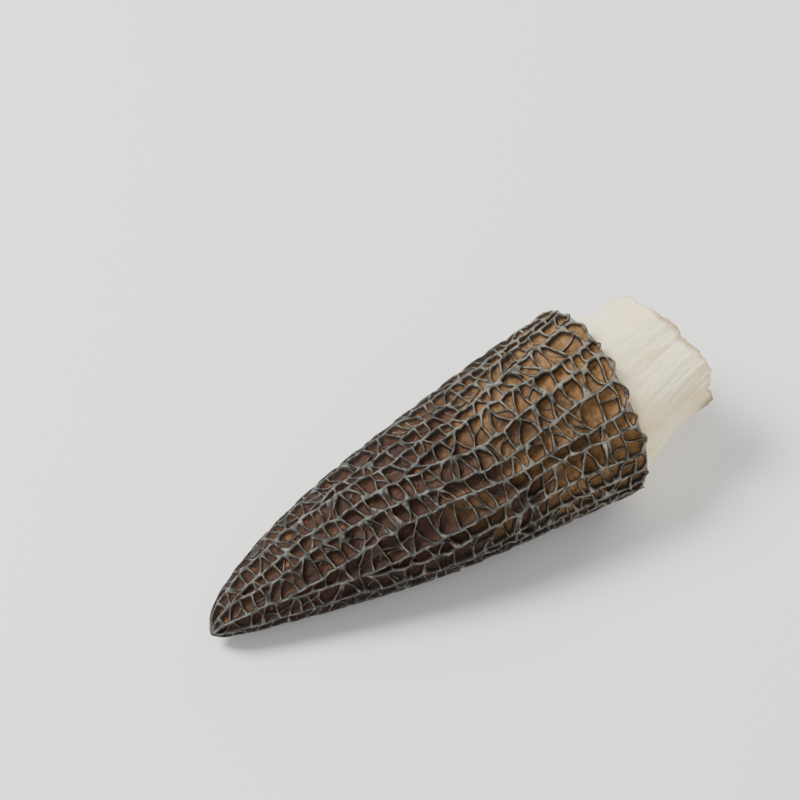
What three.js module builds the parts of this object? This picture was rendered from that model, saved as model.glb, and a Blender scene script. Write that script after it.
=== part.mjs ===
// A dried black morel lying on its side: a long honeycombed cap grown onto a short, cut, hollow stem.
// Millimetres. +X runs from the cap's tip to the cut stem, +Z is up, and z = 0 is the surface under it.
// A station is a place along the cap: 0 at the tip and 1 at the rim. An angle turns from +Y towards +Z.
import * as THREE from "three";

// Cap
const CAP_LENGTH = 93;
const CAP_HALF_WIDTH = 21.4;
const CAP_HALF_HEIGHT = 17.9;
const SWELL_ROUND = 1.58;
const SWELL_BLUNT = 0.62;
const TIP_BLUNT = 0.4;
const TIP_BLUNT_FADE = 0.04;
const TIP_BEND = 3.8;
const TIP_BEND_FADE = 4;
const TIP_RISE = 3.4;
const TIP_RISE_FADE = 6;
const MIDDLE_BOW = 1.9;
const MIDDLE_BOW_SHIFT = 1.2;
const RIM_FLARE = 0.08;
const RIM_FLARE_FADE = 14;
const RIM_FLARE_ANGLE = 40;
const PRESSED_FLAT = 0.9;
const PRESSED_FROM = 0.25;
const REST_SPOTS = [[-58.67, -5.291], [-57.166, 1.508], [-5.129, 0.401]];
const REST_REACH = 3;
const REST_RISE = 0.5;
const LOBES = [
  { count: 3, size: 0.022, phase: 1.1, drift: 1.5 },
  { count: 5, size: 0.016, phase: -2.3, drift: 3 },
];

// Net of ridges and pits
const NET_SEED = 4127;
const COLUMN_COUNT = 24;
const OPEN_EVERY = 8;
const OPEN_COLUMNS = [2, 4, 7];
const CLOSE_FIRST = 0.035;
const CLOSE_LAST = 0.64;
const CLOSE_BIAS = 1.6;
const CLOSE_SCATTER = 4;
const OPENING_LENGTH = 0.2;
const OPENING_BLUNT = 0.7;
const TWIST = 0.16;
const WANDERS = [
  { share: 0.26, waves: 8, phase: "slow" },
  { share: 0.06, waves: 23, phase: "quick" },
];
const PIT_DEPTH = 2.4;
const LIP_HALF_WIDTH = 0.42;
const CROSS_LIP_HALF_WIDTH = 0.32;
const LIP_ROUND = 0.1;
const PRESSED_LIP = 0.85;
const WALL_SPREAD = 0.55;
const CROSS_WALL_DROP = 0.7;
const SMALLEST_STEP = 3.5;
const LARGEST_STEP = 7;
const STEP_SHARE = 0.9;
const STEP_SPREAD = 0.5;
const SLANT = 0.5;
const BOW = 0.3;
const SMALLEST_PIT = 1.3;
const JUNCTION_GAP = 1.05;
const FILL_GAP = 6;
const TIP_CELL = 0.035;
const RIM_NOTCH = 0.7;
const RIM_BULGE = 1.5;
const RELAX_ROUNDS = 1;
const RELAX_SHARE = 0.14;

// Flesh under the pits, and the hollow inside it
const SKIN_BELOW_CREST = 2.6;
const FLESH = 1.4;
const JOINT_GAP = 0.3;
const HOLLOW_TIP = 0.15;
const HOLLOW_STEPS = 5;

// Stem
const STEM_REACH = 17.4;
const STEM_SLANT = 3.4;
const STEM_SLANT_ANGLE = 165;
const STEM_HALF_WIDTH = 14.4;
const STEM_HALF_HEIGHT = 10.3;
const JOINT_SHIFT = [-0.9, -0.4];
const STEM_SHIFT = [2.6, 4.9];
const EAR_ANGLE = 197;
const EAR_SPREAD = 20;
const EAR_SIZE = 0.2;
const EAR_REACH = 1.4;
const STEM_FOLDS = [
  { count: 5, size: 0.045, phase: 0.8 },
  { count: 8, size: 0.03, phase: 2.1 },
];
const RIM_WAVES = [
  { count: 3, size: 0.7, phase: 0.5 },
  { count: 7, size: 0.45, phase: 1.9 },
];
const STEM_WALL_AT_CUT = 1.1;
const STEM_AROUND = 52;
const STEM_ALONG = 11;
const STEM_INSIDE_ALONG = 6;

const TURN = 2 * Math.PI;
const radians = THREE.MathUtils.degToRad;

// Repeatable random numbers from 0 to 1.
function makeRandom(seed) {
  let state = seed;
  return () => {
    state = (state * 16807) % 2147483647;
    return state / 2147483647;
  };
}

// The cap's outline: its half width at a station, as a share of the widest.
function swell(station) {
  const passed = Math.max(0, station);
  const tip = TIP_BLUNT * Math.sqrt(passed) * Math.exp(-passed / TIP_BLUNT_FADE);
  return Math.max(0, 1 - Math.max(0, 1 - passed) ** SWELL_ROUND) ** SWELL_BLUNT + tip;
}

// How far the cap's axis lies to one side at a station: the tip is bent, and the middle bows out.
function axisShift(station) {
  const bow = Math.sin(Math.PI * Math.max(0, station) ** MIDDLE_BOW_SHIFT) ** 2;
  return -TIP_BEND * Math.max(0, 1 - station) ** TIP_BEND_FADE - MIDDLE_BOW * bow;
}

// A point of the cap's cross-section, drawn in by inset all round.
function capSection(station, angle, inset) {
  const size = swell(station);
  let lobe = 1;
  for (const { count, size: share, phase, drift } of LOBES)
    lobe += share * Math.sin(count * angle + phase + drift * station);
  const flare = Math.max(0, Math.cos(angle - radians(RIM_FLARE_ANGLE))) ** 2;
  lobe += RIM_FLARE * flare * Math.max(0, station) ** RIM_FLARE_FADE;
  const left = Math.max(0, 1 - station);
  const press = PRESSED_FLAT * Math.min(1, Math.max(0, station) / PRESSED_FROM);
  return new THREE.Vector3(
    CAP_LENGTH * (station - 1),
    (CAP_HALF_WIDTH * size * lobe - inset) * Math.cos(angle) + axisShift(station),
    (CAP_HALF_HEIGHT * size * lobe - inset) * Math.sin(angle) +
      CAP_HALF_HEIGHT * size - press + TIP_RISE * left ** TIP_RISE_FADE,
  );
}

// Outward direction of the surface that the ridges' crests lie in.
function capNormal(station, angle) {
  const step = 0.004;
  const at = Math.max(station, 2 * step);
  const along = capSection(at + step, angle, 0).sub(capSection(at - step, angle, 0));
  const around = capSection(at, angle + step, 0).sub(capSection(at, angle - step, 0));
  return around.cross(along).normalize();
}

// How high the flattened crests under the cap lie: they touch the surface at three spots.
function pressedLevel(point) {
  const away = REST_SPOTS.map(([x, y]) => Math.hypot(point.x - x, point.y - y) / REST_REACH);
  return REST_RISE * (1 - Math.exp(-(Math.min(...away) ** 2)));
}

// A point below the crests, which are pressed flat under the cap.
function capPoint(station, angle, depth) {
  const point = capSection(station, angle, 0).addScaledVector(capNormal(station, angle), -depth);
  point.z = Math.max(pressedLevel(point), point.z);
  return point;
}

// How much of the lips lies on the surface under the cap at a point of the net: 0 or 1.
function pressed(station, angle) {
  return capSection(station, angle, 0).z < 0 ? 1 : 0;
}

// Columns of pits between neighbouring ridges. A column ends at the station where its two ridges meet.
function makeColumns(random) {
  const closing = COLUMN_COUNT - (OPEN_COLUMNS.length * COLUMN_COUNT) / OPEN_EVERY;
  let order = 0;
  return Array.from({ length: COLUMN_COUNT }, (_, index) => {
    const open = OPEN_COLUMNS.includes(index % OPEN_EVERY);
    let end = 0;
    if (!open) {
      const place = (((order * CLOSE_SCATTER) % closing) + 0.5) / closing;
      end = CLOSE_FIRST + (CLOSE_LAST - CLOSE_FIRST) * place ** CLOSE_BIAS;
      order += 1;
    }
    return { end, slow: random() * TURN, quick: random() * TURN, bulge: RIM_BULGE * random() };
  });
}

// How far a column has opened at a station: 0 where its ridges have met and 1 at its full width.
function opening(column, station) {
  if (column.end === 0) return 1;
  return Math.min(1, Math.max(0, (station - column.end) / OPENING_LENGTH)) ** OPENING_BLUNT;
}

// The angle of a ridge at a station. Ridge n is the first side of column n.
function ridgeAngle(columns, ridge, station) {
  const widths = columns.map((column) => opening(column, station));
  const total = widths.reduce((sum, width) => sum + width, 0);
  let passed = 0;
  let place = 0;
  let drift = 0;
  widths.forEach((width, index) => {
    drift += (passed / total - index / COLUMN_COUNT) / COLUMN_COUNT;
    if (index === ridge) place = passed;
    passed += width;
  });
  if (ridge === COLUMN_COUNT) place = total;
  const own = ridge % COLUMN_COUNT;
  const room = Math.min(widths[own], widths[(own + COLUMN_COUNT - 1) % COLUMN_COUNT]);
  for (const { share, waves, phase } of WANDERS)
    place += room * share * Math.sin(waves * station + columns[own][phase]);
  return TWIST * Math.sin(2.4 * station) + TURN * (place / total - drift);
}

// Ridges that have met share the lowest of their numbers.
function sharedRidge(columns, ridge, station) {
  let shared = ridge % COLUMN_COUNT;
  while (shared > 0 && opening(columns[shared - 1], station) === 0) shared -= 1;
  return shared;
}

// The net: its points, each on a station and an angle, and its cells, each a loop of points round one pit.
function makeNet() {
  const random = makeRandom(NET_SEED);
  const columns = makeColumns(random);
  const points = [];
  const found = new Map();
  const millimetre = 1 / CAP_LENGTH;

  const addPoint = (values) => points.push({ ...values, index: points.length }) && points.at(-1);
  const apex = addPoint({ station: 0, angle: 0, drop: 0, kind: "apex" });

  function ridgePoint(ridge, station) {
    const shared = sharedRidge(columns, ridge, station);
    const key = `${shared}:${station.toFixed(6)}`;
    if (!found.has(key)) {
      const angle = ridgeAngle(columns, shared, station);
      found.set(key, addPoint({ station, angle, drop: 0, ridge: shared, kind: "ridge" }));
    }
    return found.get(key);
  }

  // Moves a junction along its ridge until it is clear of those already there.
  function clearStation(ridge, station) {
    for (let tries = 0; tries < 9; tries += 1) {
      const side = tries % 2 ? 1 : -1;
      const moved = station + side * Math.ceil(tries / 2) * 0.55 * JUNCTION_GAP * millimetre;
      const shared = sharedRidge(columns, ridge, moved);
      const isNear = (p) => p.ridge === shared && Math.abs(p.station - moved) < JUNCTION_GAP * millimetre;
      if (!points.some(isNear)) return moved;
    }
    return station;
  }

  // The rim, where every column is open.
  const rim = columns.map((column, index) => {
    const station = 1 - RIM_NOTCH * millimetre * random();
    const corner = ridgePoint(index, station);
    corner.kind = "rim";
    const beyond = 1 + column.bulge * millimetre;
    const angle = middleAngle(index, 1);
    const middle = addPoint({ station: beyond, angle, drop: 0.3 * random(), kind: "rim" });
    return { corner, middle };
  });
  columns.forEach((column, index) => {
    if (column.end > 0) ridgePoint(index, column.end);
  });

  // The middle of a column at a station.
  function middleAngle(index, station) {
    return (ridgeAngle(columns, index, station) + ridgeAngle(columns, index + 1, station)) / 2;
  }

  // Cross walls, from the rim towards the tip.
  const walls = columns.map((column, index) => {
    const made = [];
    const last = column.end > 0 ? column.end : TIP_CELL;
    let station = 1;
    for (;;) {
      const wide = ridgeAngle(columns, index + 1, station) - ridgeAngle(columns, index, station);
      const width = (wide * swell(station) * (CAP_HALF_WIDTH + CAP_HALF_HEIGHT)) / 2;
      const share = STEP_SHARE + STEP_SPREAD * random();
      const step = Math.min(LARGEST_STEP, Math.max(SMALLEST_STEP, width * share));
      station -= step * millimetre;
      if (station < last + 0.75 * step * millimetre) break;
      const slant = (random() - 0.5) * SLANT * width * millimetre;
      const bow = (random() - 0.5) * BOW * width * millimetre;
      const first = clearStation(index, station + slant);
      const second = clearStation(index + 1, station - slant);
      const above = made.at(-1) ?? { from: rim[index].corner, to: rim[(index + 1) % COLUMN_COUNT].corner };
      const room = Math.min(above.from.station - first, above.to.station - second);
      if (Math.min(room, first - last, second - last) < SMALLEST_PIT * millimetre) continue;
      const from = ridgePoint(index, first);
      const to = ridgePoint(index + 1, second);
      const between = (first + second) / 2 + bow;
      const drop = CROSS_WALL_DROP * (0.7 + 0.6 * random());
      const middle = addPoint({ station: between, angle: middleAngle(index, between), drop, kind: "wall" });
      made.push({ from, middle, to });
    }
    return made;
  });

  const isOn = (p, ridge) => p === apex || p.ridge === sharedRidge(columns, ridge, p.station);
  const onRidge = (ridge, low, high) =>
    points
      .filter((p) => p.station >= low - 1e-9 && p.station <= high + 1e-9 && isOn(p, ridge))
      .sort((a, b) => a.station - b.station);

  // Long bare stretches of ridge get a point between, so that they can bend.
  for (let ridge = 0; ridge < COLUMN_COUNT; ridge += 1) {
    const line = onRidge(ridge, 0, 2);
    line.slice(1).forEach((next, index) => {
      if (next.station - line[index].station > FILL_GAP * millimetre)
        ridgePoint(ridge, (next.station + line[index].station) / 2);
    });
  }

  // Each loop runs towards the tip on its first ridge and back on its second, so that it faces outwards.
  const cells = [];
  columns.forEach((column, index) => {
    const following = rim[(index + 1) % COLUMN_COUNT];
    let base = { from: rim[index].corner, middle: rim[index].middle, to: following.corner };
    for (const wall of [...walls[index], null]) {
      const low = wall ?? { from: { station: column.end }, to: { station: column.end } };
      const first = onRidge(index, low.from.station, base.from.station).reverse();
      const second = onRidge(index + 1, low.to.station, base.to.station);
      const loop = [...first, ...(wall ? [wall.middle] : []), ...second, base.middle];
      cells.push({
        loop: loop.filter((p, place) => p !== loop[(place + 1) % loop.length]),
        corners: new Set([first[0], first.at(-1), second[0], second.at(-1)]),
      });
      base = wall;
    }
  });
  relax(points, cells);
  return { points, cells, rim: rim.flatMap(({ corner, middle }) => [corner, middle]) };
}

// An angle within half a turn of another.
function nearAngle(angle, other) {
  return angle + TURN * Math.round((other - angle) / TURN);
}

// Draws each point towards its neighbours, as drying flesh does: a wall pulls its ridges into angles.
function relax(points, cells) {
  const neighbours = points.map(() => new Set());
  for (const { loop } of cells)
    loop.forEach((point, place) => {
      const next = loop[(place + 1) % loop.length];
      neighbours[point.index].add(next);
      neighbours[next.index].add(point);
    });
  for (let round = 0; round < RELAX_ROUNDS; round += 1) {
    const moved = points.map((point) => {
      if (point.kind === "rim" || point.kind === "apex") return point;
      let station = 0;
      let angle = 0;
      for (const other of neighbours[point.index]) {
        station += other.station / neighbours[point.index].size;
        const turned = other.kind === "apex" ? point.angle : nearAngle(other.angle, point.angle);
        angle += turned / neighbours[point.index].size;
      }
      return {
        station: point.station + RELAX_SHARE * (station - point.station),
        angle: point.angle + RELAX_SHARE * (angle - point.angle),
      };
    });
    points.forEach((point, index) => {
      point.station = moved[index].station;
      point.angle = moved[index].angle;
    });
  }
}

// Distance from a flat point to the nearest side of a flat loop, below 0 outside it.
function sideDistance(loop, x, y) {
  let least = Infinity;
  let inside = false;
  loop.forEach(([ax, ay], place) => {
    const [bx, by] = loop[(place + 1) % loop.length];
    const [dx, dy] = [bx - ax, by - ay];
    const share = Math.min(1, Math.max(0, ((x - ax) * dx + (y - ay) * dy) / (dx * dx + dy * dy || 1)));
    least = Math.min(least, Math.hypot(x - ax - share * dx, y - ay - share * dy));
    if (ay > y !== by > y && x < ax + ((y - ay) * dx) / dy) inside = !inside;
  });
  return inside ? least : -least;
}

// The point of a flat loop that is furthest from its sides, and that distance.
function deepest(loop) {
  let x = loop.reduce((sum, p) => sum + p[0], 0) / loop.length;
  let y = loop.reduce((sum, p) => sum + p[1], 0) / loop.length;
  let reach = sideDistance(loop, x, y);
  for (let step = 0.6; step > 0.02; ) {
    let better = false;
    for (let turn = 0; turn < 8; turn += 1) {
      const [tx, ty] = [x + step * Math.cos((turn * TURN) / 8), y + step * Math.sin((turn * TURN) / 8)];
      const found = sideDistance(loop, tx, ty);
      if (found > reach + 1e-6) {
        [x, y, reach, better] = [tx, ty, found, true];
        break;
      }
    }
    if (!better) step /= 2;
  }
  return { x, y, reach };
}

// The point on the way from a corner to the middle that is inset from the sides.
function insetPoint(loop, [cornerX, cornerY], middle, inset) {
  let [low, high] = [0, 1];
  for (let round = 0; round < 18; round += 1) {
    const share = (low + high) / 2;
    const x = cornerX + share * (middle.x - cornerX);
    const y = cornerY + share * (middle.y - cornerY);
    if (sideDistance(loop, x, y) < inset) low = share;
    else high = share;
  }
  return [cornerX + low * (middle.x - cornerX), cornerY + low * (middle.y - cornerY)];
}

// Gathers points and triangles into one closed surface.
class Surface {
  constructor() {
    this.places = [];
    this.faces = [];
  }

  add(point) {
    this.places.push(point.x, point.y, point.z);
    return this.places.length / 3 - 1;
  }

  // Joins two rings of as many points. Both run the same way round.
  stitch(ring, next) {
    ring.forEach((corner, place) => {
      const after = (place + 1) % ring.length;
      this.faces.push(corner, ring[after], next[place], ring[after], next[after], next[place]);
    });
  }

  // Joins a ring to one of fewer points. Each of its own points belongs to one of theirs, in order.
  gather(ring, next, belongs) {
    ring.forEach((corner, place) => {
      const after = (place + 1) % ring.length;
      this.faces.push(corner, ring[after], next[belongs[place]]);
      if (belongs[after] !== belongs[place])
        this.faces.push(ring[after], next[belongs[after]], next[belongs[place]]);
    });
  }

  fill(ring) {
    ring.slice(2).forEach((corner, place) => this.faces.push(ring[0], ring[place + 1], corner));
  }

  close(ring, middle) {
    ring.forEach((corner, place) => this.faces.push(corner, ring[(place + 1) % ring.length], middle));
  }

  geometry() {
    return new THREE.BufferGeometry()
      .setAttribute("position", new THREE.BufferAttribute(new Float32Array(this.places), 3))
      .setIndex(this.faces);
  }
}

// A loop laid flat, in millimetres along the cap and round it.
function layFlat(loop) {
  const round = loop.filter((point) => point.kind !== "apex");
  const station = round.reduce((sum, p) => sum + p.station, 0) / round.length;
  const angle = round.reduce((sum, p) => sum + nearAngle(p.angle, round[0].angle), 0) / round.length;
  const radius = (swell(station) * (CAP_HALF_WIDTH + CAP_HALF_HEIGHT)) / 2;
  const turned = (point) => (point.kind === "apex" ? angle : nearAngle(point.angle, angle));
  const flat = loop.map((point) => [point.station * CAP_LENGTH, turned(point) * radius]);
  return { station, radius, flat };
}

function lipWidth(point) {
  if (pressed(point.station, point.angle)) return PRESSED_LIP;
  return point.kind === "wall" ? CROSS_LIP_HALF_WIDTH : LIP_HALF_WIDTH;
}

// One pit: its lip, walls and floor, inside the loop of crest points that it shares with its neighbours.
function addPit(surface, { loop, corners }, crest, random) {
  const { station, radius, flat } = layFlat(loop);
  const middle = deepest(flat);
  const full = Math.min(PIT_DEPTH * (0.5 + 0.5 * swell(station)), 1.1 * middle.reach);
  const depth = full * (0.88 + 0.22 * random());
  const place = ([x, y], below) => surface.add(capPoint(x / CAP_LENGTH, y / radius, below));

  const lip = loop.map((point, index) => {
    const inset = insetPoint(flat, flat[index], middle, Math.min(lipWidth(point), 0.45 * middle.reach));
    return place(inset, Math.min(point.drop + LIP_ROUND, 0.7 * depth));
  });

  // The floor's corners are below the pit's own, and the lip's points between belong to the one before.
  const foot = [];
  const belongs = loop.map((point, index) => {
    if (corners.has(point)) {
      const width = Math.min(lipWidth(point) + WALL_SPREAD, 0.75 * middle.reach);
      foot.push(place(insetPoint(flat, flat[index], middle, width), depth));
    }
    return foot.length - 1;
  });
  surface.stitch(loop.map((point) => crest[point.index]), lip);
  surface.gather(lip, foot, belongs);
  surface.fill(foot);
}

// Where the stem meets the cap: a section of the cap drawn in to the stem's skin, and a little to one side.
function jointSection(angle, inset, x) {
  const point = capSection(1, angle, SKIN_BELOW_CREST + inset);
  return new THREE.Vector3(x, point.y + JOINT_SHIFT[0], point.z + JOINT_SHIFT[1]);
}

function buildCap() {
  const net = makeNet();
  const random = makeRandom(NET_SEED + 1);
  const surface = new Surface();
  const crest = net.points.map((point) => surface.add(capPoint(point.station, point.angle, point.drop)));
  for (const cell of net.cells) addPit(surface, cell, crest, random);

  // The rim folds under to the joint, and the hollow runs from there towards the tip.
  const angles = net.rim.map((point) => point.angle);
  const ring = (at) => angles.map((angle) => surface.add(at(angle)));
  let last = net.rim.map((point) => crest[point.index]);
  const inner = [-0.1, FLESH].map((inset) => ring((angle) => jointSection(angle, inset, -JOINT_GAP)));
  for (let step = 1; step <= HOLLOW_STEPS; step += 1) {
    const share = step / HOLLOW_STEPS;
    const station = 1 - (1 - HOLLOW_TIP) * share;
    const fade = Math.max(0, 1 - 3 * share);
    inner.push(
      ring((angle) => {
        const point = capSection(station, angle, SKIN_BELOW_CREST + FLESH);
        return point.add(new THREE.Vector3(0, JOINT_SHIFT[0] * fade, JOINT_SHIFT[1] * fade));
      }),
    );
  }
  for (const next of inner) {
    surface.stitch(last, next);
    last = next;
  }
  const end = capSection(HOLLOW_TIP - 0.01, 0, 0);
  end.y = axisShift(HOLLOW_TIP);
  const rise = TIP_RISE * (1 - HOLLOW_TIP) ** TIP_RISE_FADE;
  end.z = CAP_HALF_HEIGHT * swell(HOLLOW_TIP) - PRESSED_FLAT * 0.5 + rise;
  surface.close(last, surface.add(end));
  return surface.geometry();
}

// How far the stem reaches at an angle: its cut end slants, waves, and has an ear at one fold.
function stemReach(angle) {
  let reach = STEM_REACH + STEM_SLANT * Math.cos(angle - radians(STEM_SLANT_ANGLE));
  for (const { count, size, phase } of RIM_WAVES) reach += size * Math.sin(count * angle + phase);
  return reach + EAR_REACH * ear(angle);
}

function ear(angle) {
  const away = nearAngle(angle, radians(EAR_ANGLE)) - radians(EAR_ANGLE);
  return Math.exp(-((away / radians(EAR_SPREAD)) ** 2));
}

// A point of the stem: share 0 at the joint and 1 at the cut, drawn in from its skin by inset.
function stemPoint(share, angle, inset) {
  const narrowing = Math.sin((share * Math.PI) / 2) ** 1.2;
  let fold = 1 + EAR_SIZE * share ** 2 * ear(angle);
  for (const { count, size, phase } of STEM_FOLDS) fold += size * share * Math.sin(count * angle + phase);
  const joint = jointSection(angle, 0, 0);
  const [centreY, centreZ] = [JOINT_SHIFT[0], CAP_HALF_HEIGHT - PRESSED_FLAT + JOINT_SHIFT[1]];
  const cutY = STEM_HALF_WIDTH * Math.cos(angle);
  const cutZ = STEM_HALF_HEIGHT * Math.sin(angle);
  const outY = fold * THREE.MathUtils.lerp(joint.y - centreY, cutY, narrowing) - inset * Math.cos(angle);
  const outZ = fold * THREE.MathUtils.lerp(joint.z - centreZ, cutZ, narrowing) - inset * Math.sin(angle);
  return new THREE.Vector3(
    share * stemReach(angle),
    centreY + outY + share * (STEM_SHIFT[0] - JOINT_SHIFT[0]),
    centreZ + outZ + share * (STEM_SHIFT[1] - JOINT_SHIFT[1]),
  );
}

function buildStem() {
  const surface = new Surface();
  const angles = Array.from({ length: STEM_AROUND }, (_, index) => (index / STEM_AROUND) * TURN);
  const ring = (share, inset) => angles.map((angle) => surface.add(stemPoint(share, angle, inset)));
  const rings = [];
  for (let step = 0; step <= STEM_ALONG; step += 1) rings.push(ring(step / STEM_ALONG, 0));
  for (let step = STEM_INSIDE_ALONG; step >= 0; step -= 1) {
    const share = step / STEM_INSIDE_ALONG;
    rings.push(ring(share, THREE.MathUtils.lerp(FLESH, STEM_WALL_AT_CUT, share)));
  }
  rings.forEach((current, index) => surface.stitch(current, rings[(index + 1) % rings.length]));
  return surface.geometry();
}

const capMaterial = new THREE.MeshStandardMaterial({ color: 0x5e5143, roughness: 0.75, metalness: 0 });
const stemMaterial = new THREE.MeshStandardMaterial({ color: 0xe6dcc3, roughness: 0.8, metalness: 0 });

const cap = new THREE.Mesh(buildCap(), capMaterial);
cap.name = "cap";
const stem = new THREE.Mesh(buildStem(), stemMaterial);
stem.name = "stem";

const morel = new THREE.Group();
morel.name = "dried_morel";
morel.add(cap, stem);

// The part's origin is the middle of its outline on the surface under it.
const middle = new THREE.Box3().setFromObject(morel).getCenter(new THREE.Vector3());
morel.position.set(-middle.x, -middle.y, 0);

export default morel;
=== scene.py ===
"""A dried black morel lying on its side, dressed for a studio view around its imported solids."""
from __future__ import annotations

import logging
import math
from collections.abc import Callable
from dataclasses import dataclass, field
from enum import Enum

import bpy
import numpy as np
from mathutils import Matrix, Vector


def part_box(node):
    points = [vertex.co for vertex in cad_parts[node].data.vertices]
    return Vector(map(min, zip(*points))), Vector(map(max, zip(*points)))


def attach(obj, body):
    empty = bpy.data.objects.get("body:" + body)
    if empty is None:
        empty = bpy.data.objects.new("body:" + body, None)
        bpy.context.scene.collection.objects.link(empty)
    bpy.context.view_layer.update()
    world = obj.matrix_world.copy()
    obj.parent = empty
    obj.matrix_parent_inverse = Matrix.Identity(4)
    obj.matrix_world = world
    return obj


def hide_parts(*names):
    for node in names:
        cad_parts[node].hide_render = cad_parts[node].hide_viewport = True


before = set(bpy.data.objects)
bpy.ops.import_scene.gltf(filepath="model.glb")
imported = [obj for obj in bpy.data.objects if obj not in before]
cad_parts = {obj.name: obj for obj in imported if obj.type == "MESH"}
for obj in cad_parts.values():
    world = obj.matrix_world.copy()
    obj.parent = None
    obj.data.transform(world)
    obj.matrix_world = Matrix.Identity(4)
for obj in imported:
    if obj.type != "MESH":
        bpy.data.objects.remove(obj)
log = logging.getLogger("morel")

MM = 0.001
TURN = 2 * math.pi
Colour = tuple[float, float, float]
Random = Callable[[], float]
RingMaker = Callable[[np.ndarray], np.ndarray]
Socket = bpy.types.NodeSocket
Face = tuple[int, ...]


class Kind(Enum):
    """What a point of the net belongs to."""

    APEX = "apex"
    RIDGE = "ridge"
    RIM = "rim"
    WALL = "wall"


class Layer(Enum):
    """Names of the point attributes that the finishes read."""

    LIP = "lip"
    PIT = "pit"
    ALONG = "along"
    TONE = "tone"
    RADIUS = "radius"


def srgb(red: int, green: int, blue: int) -> Colour:
    """Turns a colour as seen, 0 to 255 a channel, into linear light.

    Args:
        red: Red channel.
        green: Green channel.
        blue: Blue channel.

    Returns:
        The three channels, 0 to 1, in linear light.
    """
    def one(value: int) -> float:
        """Turns one channel."""
        share = value / 255
        return share / 12.92 if share <= 0.04045 else ((share + 0.055) / 1.055) ** 2.4
    return one(red), one(green), one(blue)


def repeatable(seed: int) -> Random:
    """Makes the same run of numbers as the solids' own.

    Args:
        seed: Where the run starts.

    Returns:
        A function that gives the next number, from 0 to 1.
    """
    state = seed

    def following() -> float:
        """Gives the next number."""
        nonlocal state
        state = (state * 16807) % 2147483647
        return state / 2147483647
    return following


def area(x: np.ndarray, y: np.ndarray) -> float:
    """Gives the area inside a flat loop."""
    return abs(float(np.dot(x, np.roll(y, -1)) - np.dot(y, np.roll(x, -1)))) / 2


def near(angle: float, other: float) -> float:
    """Gives an angle within half a turn of another."""
    return angle + TURN * math.floor((other - angle) / TURN + 0.5)


@dataclass(frozen=True)
class Form:
    """The cap's smooth form, in millimetres: what the crests of its ridges lie in."""

    length: float = 93
    half_width: float = 21.4
    half_height: float = 17.9
    swell_round: float = 1.58
    swell_blunt: float = 0.62
    tip_blunt: float = 0.4
    tip_blunt_fade: float = 0.04
    tip_bend: float = 3.8
    tip_bend_fade: float = 4
    tip_rise: float = 3.4
    tip_rise_fade: float = 6
    middle_bow: float = 1.9
    middle_bow_shift: float = 1.2
    rim_flare: float = 0.08
    rim_flare_fade: float = 14
    rim_flare_angle: float = 40
    pressed_flat: float = 0.9
    pressed_from: float = 0.25
    rest_spots: tuple = ((-58.67, -5.291), (-57.166, 1.508), (-5.129, 0.401))
    rest_reach: float = 3
    rest_rise: float = 0.5
    lobes: tuple = ((3, 0.022, 1.1, 1.5), (5, 0.016, -2.3, 3))

    def swell(self, station: np.ndarray) -> np.ndarray:
        """Gives the half width at stations, as a share of the widest."""
        passed = np.maximum(0, np.asarray(station, float))
        tip = self.tip_blunt * np.sqrt(passed) * np.exp(-passed / self.tip_blunt_fade)
        return np.maximum(0, 1 - np.maximum(0, 1 - passed) ** self.swell_round) ** self.swell_blunt + tip

    def radius(self, station: float) -> float:
        """Gives the mean radius at a station."""
        return float(self.swell(station)) * (self.half_width + self.half_height) / 2

    def axis(self, station: np.ndarray) -> np.ndarray:
        """Gives how far the axis lies to one side at stations."""
        station = np.asarray(station, float)
        bow = np.sin(math.pi * np.maximum(0, station) ** self.middle_bow_shift) ** 2
        return -self.tip_bend * np.maximum(0, 1 - station) ** self.tip_bend_fade - self.middle_bow * bow

    def section(self, station: np.ndarray, angle: np.ndarray, inset: np.ndarray) -> np.ndarray:
        """Gives points of the cross-section.

        Args:
            station: Places along the cap, 0 at the tip and 1 at the rim.
            angle: Angles round it, from +Y towards +Z.
            inset: How far each point is drawn in.

        Returns:
            One point a row.
        """
        station, angle = np.broadcast_arrays(np.asarray(station, float), np.asarray(angle, float))
        size = self.swell(station)
        lobe = np.ones_like(station)
        for count, share, phase, drift in self.lobes:
            lobe = lobe + share * np.sin(count * angle + phase + drift * station)
        flare = np.maximum(0, np.cos(angle - math.radians(self.rim_flare_angle))) ** 2
        lobe = lobe + self.rim_flare * flare * np.maximum(0, station) ** self.rim_flare_fade
        left = np.maximum(0, 1 - station)
        press = self.pressed_flat * np.minimum(1, np.maximum(0, station) / self.pressed_from)
        across = (self.half_width * size * lobe - inset) * np.cos(angle) + self.axis(station)
        up = (self.half_height * size * lobe - inset) * np.sin(angle)
        up = up + self.half_height * size - press + self.tip_rise * left ** self.tip_rise_fade
        return np.stack([self.length * (station - 1), across, up], -1)

    def point(self, station: np.ndarray, angle: np.ndarray, depth: np.ndarray) -> np.ndarray:
        """Gives points below the crests, which are pressed flat under the cap and touch at three spots.

        Args:
            station: Places along the cap.
            angle: Angles round it.
            depth: How far below the crests each point is.

        Returns:
            One point a row, in millimetres.
        """
        station = np.asarray(station, float)
        step = 0.004
        at = np.maximum(station, 2 * step)
        along = self.section(at + step, angle, 0) - self.section(at - step, angle, 0)
        around = self.section(at, angle + step, 0) - self.section(at, angle - step, 0)
        normal = np.cross(around, along)
        normal /= np.linalg.norm(normal, axis=-1, keepdims=True)
        place = self.section(station, angle, 0) - normal * np.asarray(depth)[..., None]
        away = np.min([np.hypot(place[..., 0] - x, place[..., 1] - y) for x, y in self.rest_spots], axis=0)
        level = self.rest_rise * (1 - np.exp(-((away / self.rest_reach) ** 2)))
        place[..., 2] = np.maximum(level, place[..., 2])
        return place


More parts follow.
